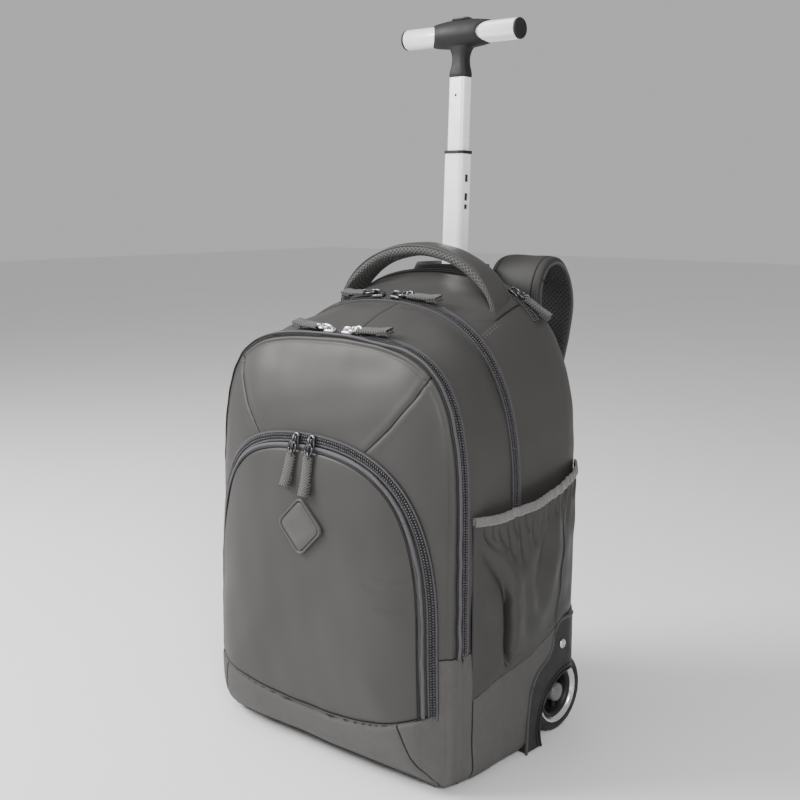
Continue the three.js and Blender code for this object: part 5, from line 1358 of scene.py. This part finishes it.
def pull(name, place, outward, toward, metal, curl=0.0, sag=0.0, shift=0.0, size=1.15):
    """A slider at a place, with its tab laid towards a point and its free end lifted by curl."""
    place, toward = np.asarray(place, float), np.asarray(toward, float)
    reach = np.linalg.norm(toward - place)
    x_way = unit(toward - place)
    y_way = unit(np.cross(np.asarray(outward, float), x_way))
    z_way = np.cross(x_way, y_way)
    axes = np.array([x_way, y_way, z_way])
    points, faces = slider_shapes()
    slider = add_piece(f"zip_slider_{name}", place + size * points @ axes, faces, metal)
    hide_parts(f"slider_{name}")
    run = np.linspace(0, 1, 40)
    start = 12.6 * size
    height = 3.8 * size + sag * np.sin(np.pi * run) + curl * smoothstep(run, 0.55, 1.0)
    path = np.c_[start + run * (reach - start), shift * run**2, height]
    way = unit(np.gradient(path, axis=0))
    out = unit(np.cross(way, np.tile([0.0, 1.0, 0.0], (40, 1))) * -1.0)
    wide = TAB_WIDTH / 2
    strip, strip_faces, marks = ribbon_solid(path, np.tile([0.0, 1.0, 0.0], (40, 1)), out, wide, 1.5)
    fold_path = path[-14:] + out[-14:] * 2.5
    fold_path[-1] += (0.8, 0.0, -1.0)
    fold, fold_faces, fold_marks = ribbon_solid(
        fold_path, np.tile([0.0, 1.0, 0.0], (14, 1)), out[-14:], wide - 0.3, 1.1
    )
    neck_height = 4.1 * size + 0.6 * np.sin(np.linspace(0, np.pi, 8))
    neck, neck_faces, neck_marks = ribbon_solid(
        np.c_[np.linspace(start - 2.2, start + 2, 8), np.zeros(8), neck_height],
        np.tile([0.0, 1.0, 0.0], (8, 1)), np.tile([0.0, 0.0, 1.0], (8, 1)), wide * 0.62, 1.1,
    )
    points, faces = together((strip, strip_faces), (fold, fold_faces), (neck, neck_faces))
    merged = {mark: np.concatenate([marks[mark], fold_marks[mark], neck_marks[mark]]) for mark in marks}
    tab = add_piece(f"pull_tab_{name}", place + points @ axes, faces, tab_weave, marks=merged)
    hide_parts(f"tab_{name}")
    end = fold_path[0] + out[-14] * 1.3
    line = [place + (end + (0, shift_y, 0)) @ axes for shift_y in np.linspace(-wide + 1.5, wide - 1.5, 8)]
    stitches(f"tab_stitches_{name}", line, np.tile(z_way, (8, 1)), 1.7, 0.7, 0.3)


def on_body_zip(x, y, rise=3.4):
    return (x, y, body_top(x, y) + rise)


for name, x, way, y, metal in (
    ("front_1", -9.0, -1, FRONT_ZIP_Y, silver),
    ("front_2", 16.0, 1, FRONT_ZIP_Y, silver),
    ("main_1", -13.0, -1, MAIN_ZIP_Y, gunmetal),
    ("main_2", 13.0, 1, MAIN_ZIP_Y, gunmetal),
):
    start, end = on_body_zip(x, y), on_body_zip(x + way * TAB_REACH, y + 3.0)
    end = (end[0], end[1], max(end[2], start[2] - 6) + 1.0)
    pull(
        name, start, (0, -0.25, 1), end, metal, curl=2.5, sag=0.8, shift=1.5 * way,
        size=1.35 if metal is gunmetal else 1.15
    )
laptop_start = on_body_zip(0.61 * BODY_HALF_WIDTH, LAPTOP_ZIP_Y, 3.0)
laptop_end = on_body_zip(0.81 * BODY_HALF_WIDTH, LAPTOP_ZIP_Y + 14.0, 8.5)
pull("laptop", laptop_start, (0.6, 0, 0.8), laptop_end, gunmetal, curl=1.0)
pocket_zip_z = POCKET_TOP + 6.4
for name, x, lean, reach in (("pocket_1", -13.0, -3.0, 0.88 * TAB_REACH), ("pocket_2", 9.0, 2.0, TAB_REACH)):
    place = (x, float(face_y(x, pocket_zip_z)) - 3.9, pocket_zip_z)
    low = pocket_zip_z - reach
    end = (x + lean, float(pocket_y(x + lean, low)) - 1.2, low)
    pull(name, place, (0, -1, 0.12), end, gunmetal, curl=1.2, sag=-0.4)

# Badge. A soft moulded rubber diamond stitched on the pocket: a raised rim with a plain raised diamond
# inside it.
BADGE_HALF_WIDTH, BADGE_HALF_HEIGHT, BADGE_X, BADGE_Z = 29.0, 28.0, 3.0, 247.0
badge_rubber = Finish("badge_rubber", (0.058, 0.056, 0.0535), 0.5, Specular_IOR_Level=0.4)
badge_rubber.feed("Base Color", badge_rubber.shade(badge_rubber.noise(12.0).between(0.2, 0.8, 0.92, 1.08)))
badge_rubber.bump(badge_rubber.noise(0.7), 0.12)
square = superellipse(2.0, 2.0, 0.34, 240)
diamond = np.c_[square[:, 0] + square[:, 1], square[:, 1] - square[:, 0]]
diamond *= (BADGE_HALF_WIDTH, BADGE_HALF_HEIGHT) / diamond.max(axis=0)
relief = [
    (1.0, -0.6), (1.0, 1.6), (0.985, 2.2), (0.965, 2.4), (0.93, 2.4), (0.91, 2.1), (0.90, 0.9), (0.885, 0.3),
    (0.865, 0.3), (0.85, 0.9), (0.84, 1.6), (0.82, 1.9), (0.5, 2.0), (0.25, 2.0), (0.0, 2.0),
]
rows = []
for share, height in relief:
    bx, bz = BADGE_X + diamond[:, 0] * share, BADGE_Z + diamond[:, 1] * share
    rows.append(np.c_[bx, pocket_y(bx, bz) - 1.0 - height, bz])
badge = add_piece(
    "badge_patch", rows, grid_faces(len(rows), len(diamond), closed_columns=True), badge_rubber,
)
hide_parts("badge")

# Base plate, wheel housings and rivets. Injection-moulded black plastic; the housings are sewn into the
# cloth behind a rolled lip and held by a silver rivet.
for name in ("base_plate", "mast_collar", "mast_ring"):
    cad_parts[name].data.materials.clear()
    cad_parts[name].data.materials.append(black_plastic.material)
HOUSING_FACE_X, HOUSING_BACK_Y = BODY_HALF_WIDTH + 2.0, BACK_Y - 3.0
ARCH_RADIUS, ARCH_CENTRE_Z, HOUSING_CORNER = 50.0, 21.0, 28.0
for side in ("right", "left"):
    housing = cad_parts[f"wheel_housing_{side}"]
    housing.data.materials.clear()
    housing.data.materials.append(black_plastic.material)

lip_line = np.r_[
    housing_front[:1] - (0, 2.0), housing_front,
    [(HOUSING_BACK_Y - 12, HOUSING_TOP), (HOUSING_BACK_Y - 3, HOUSING_TOP)]
]
lip_flat = smooth_line(lip_line, 120)
arch_turn = np.radians(np.linspace(205, -12, 60))
arch_line = np.c_[
    WHEEL_Y + (ARCH_RADIUS + 1.5) * np.cos(np.pi - arch_turn) * -1.0,
    ARCH_CENTRE_Z + (ARCH_RADIUS + 1.5) * np.sin(arch_turn)
]
arch_line = arch_line[(arch_line[:, 1] > 1.5) & (arch_line[:, 0] < 96)]
steel = Finish("satin_steel", (0.62, 0.62, 0.63), 0.3, 1.0)
steel.feed("Roughness", steel.noise(3.0).between(0.2, 0.8, 0.24, 0.38))
RIVET_RADIUS = 5.0
rivet_y, rivet_z = WHEEL_Y - 0.17 * HOUSING_DEPTH, 0.8 * HOUSING_TOP


def housing_x(y):
    """The housing's outer face, which turns in round its back corner."""
    past = np.maximum(0, y - (HOUSING_BACK_Y - HOUSING_CORNER))
    return HOUSING_FACE_X - HOUSING_CORNER + np.sqrt(np.maximum(0, HOUSING_CORNER**2 - past**2))


def lathe_x(profile, count, y, z, x0=0.0):
    """A turned piece about an axle along X; the profile is (distance along X, radius)."""
    turn = np.linspace(0, 2 * np.pi, count, endpoint=False)
    rows = [
        np.c_[np.full(count, x0 + x), y + radius * np.cos(turn), z + radius * np.sin(turn)]
        for x, radius in profile
    ]
    return np.array(rows), grid_faces(len(rows), count, closed_columns=True)


for side, sign in (("right", 1), ("left", -1)):
    mirror = (sign, 1, 1)
    edge = np.c_[housing_x(lip_flat[:, 0]) - 0.6, lip_flat]
    points, faces = tube(edge, 1.5, 10)
    lip = add_piece(f"housing_lip_{side}", points * mirror, faces, binding)
    arch = np.c_[housing_x(arch_line[:, 0]) + 0.1, arch_line]
    points, faces = tube(arch, 1.3, 10)
    add_piece(f"arch_bead_{side}", points * mirror, faces, black_plastic)
    inner = np.c_[
        arch[:, 0], WHEEL_Y + (arch_line[:, 0] - WHEEL_Y) * 1.1,
        ARCH_CENTRE_Z + (arch_line[:, 1] - ARCH_CENTRE_Z) * 1.1
    ]
    inner = inner[(inner[:, 1] < 88) & (inner[:, 2] > 3)]
    points, faces = tube(inner, 0.7, 8)
    add_piece(f"arch_rib_{side}", points * mirror, faces, black_plastic)
    head = [
        (0.3, 0.0), (0.3, RIVET_RADIUS), (0.9, RIVET_RADIUS), (1.6, 4.3), (2.0, 3.0), (2.0, 1.9),
        (1.3, 1.6), (1.3, 0.0)
    ]
    points, faces = lathe_x(head, 48, rivet_y, rivet_z, HOUSING_FACE_X)
    rivet = add_piece(
        f"rivet_head_{side}", points.reshape(-1, 3) * mirror, faces, steel
    )
    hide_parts(f"housing_rivet_{side}")

# Wheels. A grooved rubber tyre on a bright moulded rim, with a black five-spoked hub turning on a steel axle.
WHEEL_RADIUS, WHEEL_WIDTH, TYRE_DEPTH, RIM_DEPTH = 42.0, 23.0, 8.5, 7.0
WHEEL_MIDDLE_X = 144.25
RIM_RADIUS = WHEEL_RADIUS - TYRE_DEPTH - 0.35
HUB_RADIUS = RIM_RADIUS - RIM_DEPTH - 0.35
tyre_rubber = Finish("tyre_rubber", (0.012, 0.012, 0.012), 0.7, Specular_IOR_Level=0.4)
tyre_rubber.feed("Base Color", tyre_rubber.shade(tyre_rubber.noise(8.0, 5.0).between(0.25, 0.8, 0.8, 1.7)))
tyre_rubber.bump(tyre_rubber.noise(0.8), 0.2)
bright_rim = Finish("bright_rim", (0.62, 0.62, 0.63), 0.25, 0.9)
bright_rim.feed("Roughness", bright_rim.noise(6.0).between(0.2, 0.8, 0.18, 0.3))
half = WHEEL_WIDTH / 2
tyre_profile = [
    (-half, WHEEL_RADIUS - TYRE_DEPTH), (-half, 37.0), (-half + 0.5, 38.8), (-half + 2.2, 40.9),
    (-half + 4.6, 41.9)
]
for groove in (-4.2, 0.0, 4.2):
    tyre_profile += [(groove - 1.2, 42.0), (groove - 0.7, 41.0), (groove + 0.7, 41.0), (groove + 1.2, 42.0)]
tyre_profile += [
    (half - 4.6, 41.9), (half - 2.2, 40.9), (half - 0.5, 38.8), (half, 37.0),
    (half, WHEEL_RADIUS - TYRE_DEPTH)
]
tyre_profile += [(-half, WHEEL_RADIUS - TYRE_DEPTH)]
rim_profile = [
    (-0.7 * half, RIM_RADIUS - RIM_DEPTH), (-0.9 * half, RIM_RADIUS), (0.86 * half, RIM_RADIUS),
    (0.95 * half, RIM_RADIUS - 0.8), (0.95 * half, RIM_RADIUS - 2.2), (0.72 * half, RIM_RADIUS - 3.6),
    (0.6 * half, RIM_RADIUS - 4.9),
    (0.4 * half, RIM_RADIUS - RIM_DEPTH), (-0.7 * half, RIM_RADIUS - RIM_DEPTH),
]
disc_profile = [
    (-0.5 * half, 4.4), (-0.5 * half, HUB_RADIUS), (0.62 * half, HUB_RADIUS + 1.6),
    (0.7 * half, HUB_RADIUS + 1.0), (0.7 * half, HUB_RADIUS - 1.5), (0.36 * half, HUB_RADIUS - 3.0),
    (0.1 * half, HUB_RADIUS - 4.0),
    (-0.3 * half, HUB_RADIUS - 4.4), (-0.3 * half, 4.4),
]
cap_profile = [
    (-0.9 * half, 4.4), (-0.9 * half, 10.0), (0.7 * half, 10.0), (0.88 * half, 9.2), (0.95 * half, 7.2),
    (0.96 * half, 0.0)
]
hub_grey = Finish("hub_cap_grey", (0.11, 0.11, 0.112), 0.4)
hub_grey.feed("Base Color", hub_grey.shade(hub_grey.noise(6.0).between(0.2, 0.8, 0.9, 1.1)))
spokes = 5
for side, sign in (("right", 1), ("left", -1)):
    body, mirror, centre = f"wheel_{side}", (sign, 1, 1), (WHEEL_Y, WHEEL_RADIUS, WHEEL_MIDDLE_X)
    points, faces = lathe_x(tyre_profile, 96, *centre)
    tyre = add_piece(
        f"tyre_tread_{side}", points.reshape(-1, 3) * mirror, faces, tyre_rubber, body
    )
    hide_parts(f"tyre_{side}")
    points, faces = lathe_x(rim_profile, 96, *centre)
    rim = add_piece(
        f"rim_ring_{side}", points.reshape(-1, 3) * mirror, faces, bright_rim, body
    )
    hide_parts(f"wheel_rim_{side}")
    shapes = [lathe_x(disc_profile, 64, *centre)]
    for i in range(spokes):
        angle = 2 * np.pi * i / spokes
        ray = np.array([0.0, np.cos(angle), np.sin(angle)])
        over = np.array([0.0, -np.sin(angle), np.cos(angle)])
        path = np.array([WHEEL_MIDDLE_X, WHEEL_Y, WHEEL_RADIUS]) + ray * np.linspace(8, HUB_RADIUS - 2, 12)[
            :, None
        ]
        widths = np.interp(np.linspace(0, 1, 12), [0, 0.5, 1], [3.4, 2.4, 3.8])
        profile = [
            [(-w, -2.0), (-w, 1.6), (-w * 0.6, 2.6), (w * 0.6, 2.6), (w, 1.6), (w, -2.0)] for w in widths
        ]
        arm = sweep(path, np.tile(over, (12, 1)), np.tile([1.0, 0.0, 0.0], (12, 1)), profile)
        shapes.append((arm, grid_faces(*arm.shape[:2], closed_columns=True)))
    points, faces = together(*shapes)
    hub = add_piece(f"hub_spokes_{side}", points * mirror, faces, black_plastic, body)
    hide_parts(f"wheel_hub_{side}")
    points, faces = lathe_x(cap_profile, 64, *centre)
    add_piece(f"hub_cap_{side}", points.reshape(-1, 3) * mirror, faces, hub_grey, body)
    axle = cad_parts[f"wheel_axle_{side}"]
    axle.data.materials.clear()
    axle.data.materials.append(steel.material)

# Binding under the cloth's lower edge, round the sides and the front, dark and a little proud of the base.
foot_turn = math.radians(-58)
foot_places = []
for y in np.linspace(FRONT_ZIP_Y + 2, WHEEL_Y - HOUSING_DEPTH - 1, 50):
    half = float(smooth_between(y, section_y, body_sections[:, 1])) * BODY_HALF_WIDTH
    out, low = BODY_CORNER * math.cos(foot_turn), BODY_CORNER * math.sin(foot_turn)
    foot_places.append((half - BODY_CORNER + out, y, BODY_FLOOR + BODY_CORNER + low))
for side, sign in (("right", 1), ("left", -1)):
    points, faces = tube(np.array(foot_places) * (sign, 1, 1), 2.0, 10)
    add_piece(f"foot_binding_{side}", points, faces, binding)

# Mast. Three nested tubes of satin anodised aluminium; the sleeve is out of sight inside the bag, the lower
# tube has latch slots in its right side, and the upper one a pin hole in its face.
MAST_Y, MAST_LEAN = 86.0, math.radians(2.2)
LOWER_TOP, UPPER_TOP = 126.0, 207.0
BAR_RISE, BAR_LENGTH, BAR_RADIUS = 45.0, 150.0, 11.0
aluminium = Finish("satin_aluminium", (0.95, 0.95, 0.95), 0.34, 0.2)
brushed = aluminium.node(
    "ShaderNodeTexNoise", {}, {"Vector": aluminium.place(), "Scale": 60.0, "Detail": 2.0, "Roughness": 0.6}
)
aluminium.feed("Roughness", brushed.between(0.2, 0.8, 0.24, 0.36))
aluminium.feed("Base Color", aluminium.shade(aluminium.noise(60.0).between(0.2, 0.8, 0.96, 1.03)))
for name in ("mast_sleeve", "mast_lower_tube", "mast_upper_tube"):
    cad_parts[name].data.materials.clear()
    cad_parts[name].data.materials.append(aluminium.material)
lean = Matrix.Rotation(-MAST_LEAN, 3, "X")


def in_mast(points):
    """Points of the leaning mast's own frame in the bag's frame."""
    points = np.asarray(points, float).reshape(-1, 3)
    return points @ np.array(lean).T + (0.0, MAST_Y, BODY_HEIGHT)


# Dark plates just inside the lower tube that show through its slots: painted shade inside the slots.
for number, (drop, height) in enumerate(((22.0, 8.0), (42.0, 8.0), (54.0, 5.0)), 1):
    low, high = LOWER_TOP - drop - height - 0.8, LOWER_TOP - drop + 0.8
    corners = [(11.62, a, b) for a, b in ((-3.8, low), (3.8, low), (3.8, high), (-3.8, high))]
    inner = [(11.25, a, b) for _, a, b in corners]
    shape = [(0, 1, 2, 3), (7, 6, 5, 4), (0, 4, 5, 1), (1, 5, 6, 2), (2, 6, 7, 3), (3, 7, 4, 0)]
    add_piece(
        f"slot_shade_{number}", in_mast(corners + inner), shape, black_plastic, "mast_lower",
        smooth=False
    )

# Cuff. A padded fold of cloth round the foot of the mast, sewn into the top of the bag.
CUFF_TOP, CUFF_HALF_WIDTH, CUFF_HALF_DEPTH, CUFF_SHIFT_Y = 495.5, 41.5, 21.0, -3.0
cuff_turn = np.linspace(0, 2 * np.pi, 200, endpoint=False)
cuff_rows = []
for share, rise in (
    (1.16, -0.1), (1.14, 0.04), (1.09, 0.3), (1.03, 0.7), (1.0, 0.95), (0.985, 1.0), (0.96, 0.95),
    (0.9, 0.75), (0.62, 0.55), (0.56, 0.3)
):
    cx = CUFF_HALF_WIDTH * share * np.sign(np.cos(cuff_turn)) * np.abs(np.cos(cuff_turn)) ** 0.35
    cy = CUFF_HALF_DEPTH * share * np.sign(np.sin(cuff_turn)) * np.abs(np.sin(cuff_turn)) ** 0.5
    cy = MAST_Y + CUFF_SHIFT_Y + cy
    foot = np.array([body_top(a, min(b, BACK_Y - 6)) for a, b in zip(cx, cy)])
    cuff_rows.append(np.c_[cx, cy, foot + (CUFF_TOP - foot) * rise])
cuff_grid = np.array(cuff_rows)
cuff_grid += 0.5 * drift(cuff_grid, 30, 91)[..., None] * (0, 0, 1)
shape = cuff_grid.shape[:2]
marks = {
    "twill": np.full(shape, -FAR), "seam_a": np.full(shape, FAR), "seam_b": np.full(shape, FAR),
    "seam_c": np.full(shape, FAR)
}
cuff = add_piece(
    "mast_cuff", cuff_grid, grid_faces(*shape, closed_columns=True), cloth,
    marks=marks
)

# Grip. A T-shaped handle: a soft black moulding over a bright bar, its neck waisted and flattened in front,
# with an oval release button in a well on top and a cap in each end of the bar.
BAR_Z = UPPER_TOP + BAR_RISE
grip_black = Finish("grip_black", (0.0085, 0.0085, 0.0087), 0.6, Specular_IOR_Level=0.36)
grip_black.feed("Roughness", grip_black.noise(20.0).between(0.2, 0.8, 0.52, 0.66))
grip_black.bump(grip_black.noise(0.8), 0.08)
bright_bar = Finish("bright_bar", (0.95, 0.95, 0.95), 0.3, 0.2)
bright_bar.feed("Roughness", bright_bar.noise(20.0).between(0.2, 0.8, 0.22, 0.32))


def across_mast(profile, count=72):
    """A turned piece about the grip's bar."""
    points, faces = lathe_x(profile, count, 0.0, BAR_Z)
    return in_mast(points), faces


bar_half = BAR_LENGTH / 2
tube_profile = [
    (-bar_half, 9.4), (-bar_half, 10.6), (-bar_half + 0.4, BAR_RADIUS), (bar_half - 0.4, BAR_RADIUS),
    (bar_half, 10.6),
    (bar_half, 9.4), (-bar_half, 9.4),
]
points, faces = across_mast(tube_profile)
bar = add_piece("grip_tube", points, faces, bright_bar, "mast_upper")
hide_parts("grip_bar")
for side, sign in (("right", 1), ("left", -1)):
    end = sign * (bar_half + 0.35)
    profile = [
        (sign * (bar_half - 8), 0.0), (sign * (bar_half - 8), 9.0), (end, 9.0), (end, 10.5),
        (end + sign * 0.5, 10.9)
    ]
    profile += [
        (end + sign * 1.9, 10.9), (end + sign * 2.7, 10.3), (end + sign * 3.0, 9.2),
        (end + sign * 2.5, 8.6), (end + sign * 2.5, 0.0)
    ]
    points, faces = across_mast(profile)
    cap = add_piece(f"bar_end_{side}", points, faces, grip_black, "mast_upper")
    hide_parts(f"grip_cap_{side}")

turn = np.linspace(0, 2 * np.pi, 96, endpoint=False)
MOULDING_HALF_LENGTH, END_RADIUS, BELLY, END_RECESS = 37.0, 12.1, 3.3, 10.0
rows = []
for share in np.linspace(-1, 1, 65):
    swell = END_RADIUS + BELLY * np.cos(share * np.pi / 2) ** 0.8
    end_bow = END_RECESS * abs(share) ** 6 * np.cos(turn) ** 2 * np.sign(share)
    height = BAR_Z + swell * np.sin(turn) * (1 + 0.02 * np.sin(turn))
    rows.append(np.c_[MOULDING_HALF_LENGTH * share - end_bow, swell * np.cos(turn), height])
first, last = rows[0] * 1, rows[-1] * 1
for end in (first, last):
    end[:, 1:] = (end[:, 1:] - (0, BAR_Z)) * (BAR_RADIUS + 0.1) / END_RADIUS + (0, BAR_Z)
spindle = np.array([first, *rows, last])
neck_rows = np.array([
    (0.0, 1.0, 1.0), (0.06, 1.03, 1.04), (0.14, 0.98, 1.0), (0.35, 0.80, 0.90), (0.55, 0.84, 0.90),
    (0.70, 1.10, 1.0), (0.84, 1.75, 1.12), (0.94, 2.2, 1.15), (1.0, 2.45, 1.15),
])
fine = np.linspace(0, 1, 60)
neck = []
for up in fine:
    wide, deep = (float(smooth_between(up, neck_rows[:, 0], neck_rows[:, column])) for column in (1, 2))
    edge_x = 12.0 * wide * np.sign(np.cos(turn)) * np.abs(np.cos(turn)) ** 0.62
    edge_y = 8.5 * deep * np.sign(np.sin(turn)) * np.abs(np.sin(turn)) ** 0.72
    neck.append(np.c_[edge_x, edge_y, np.full(len(turn), UPPER_TOP + 0.35 + up * (BAR_RISE - 3))])
neck = np.array(neck)
points, faces = together(
    (in_mast(spindle), grid_faces(len(spindle), len(turn), closed_columns=True)),
    (in_mast(neck), grid_faces(len(neck), len(turn), closed_columns=True)),
)
saddle = add_piece("grip_moulding", points, faces, grip_black, "mast_upper")
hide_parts("grip_saddle")
oval = superellipse(24.4, 14.4, 7.0, 96)
inner_oval = superellipse(21.6, 11.6, 5.6, 96)
well, well_faces = plate(inner_oval, oval, [(14.0, 0.0), (15.7, 0.0), (16.3, 0.6), (16.4, 1.0)])
well_ring = np.c_[well.reshape(-1, 3)[:, :2], well.reshape(-1, 3)[:, 2] + BAR_Z]
add_piece(
    "button_well", in_mast(well_ring), well_faces, grip_black, "mast_upper"
)
button_rows = []
for height, share in (
    (13.6, 0.0), (13.6, 1.0), (16.6, 1.0), (17.4, 0.95), (17.9, 0.85), (18.15, 0.6), (18.2, 0.0)
):
    shape_2d = superellipse(21.0, 11.0, 5.4, 96) * share
    button_rows.append(np.c_[shape_2d, np.full(96, BAR_Z + height)])
points = in_mast(np.array(button_rows))
button = add_piece(
    "release_button", points, grid_faces(len(button_rows), 96, closed_columns=True), hub_grey, "button",
)
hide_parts("grip_button")
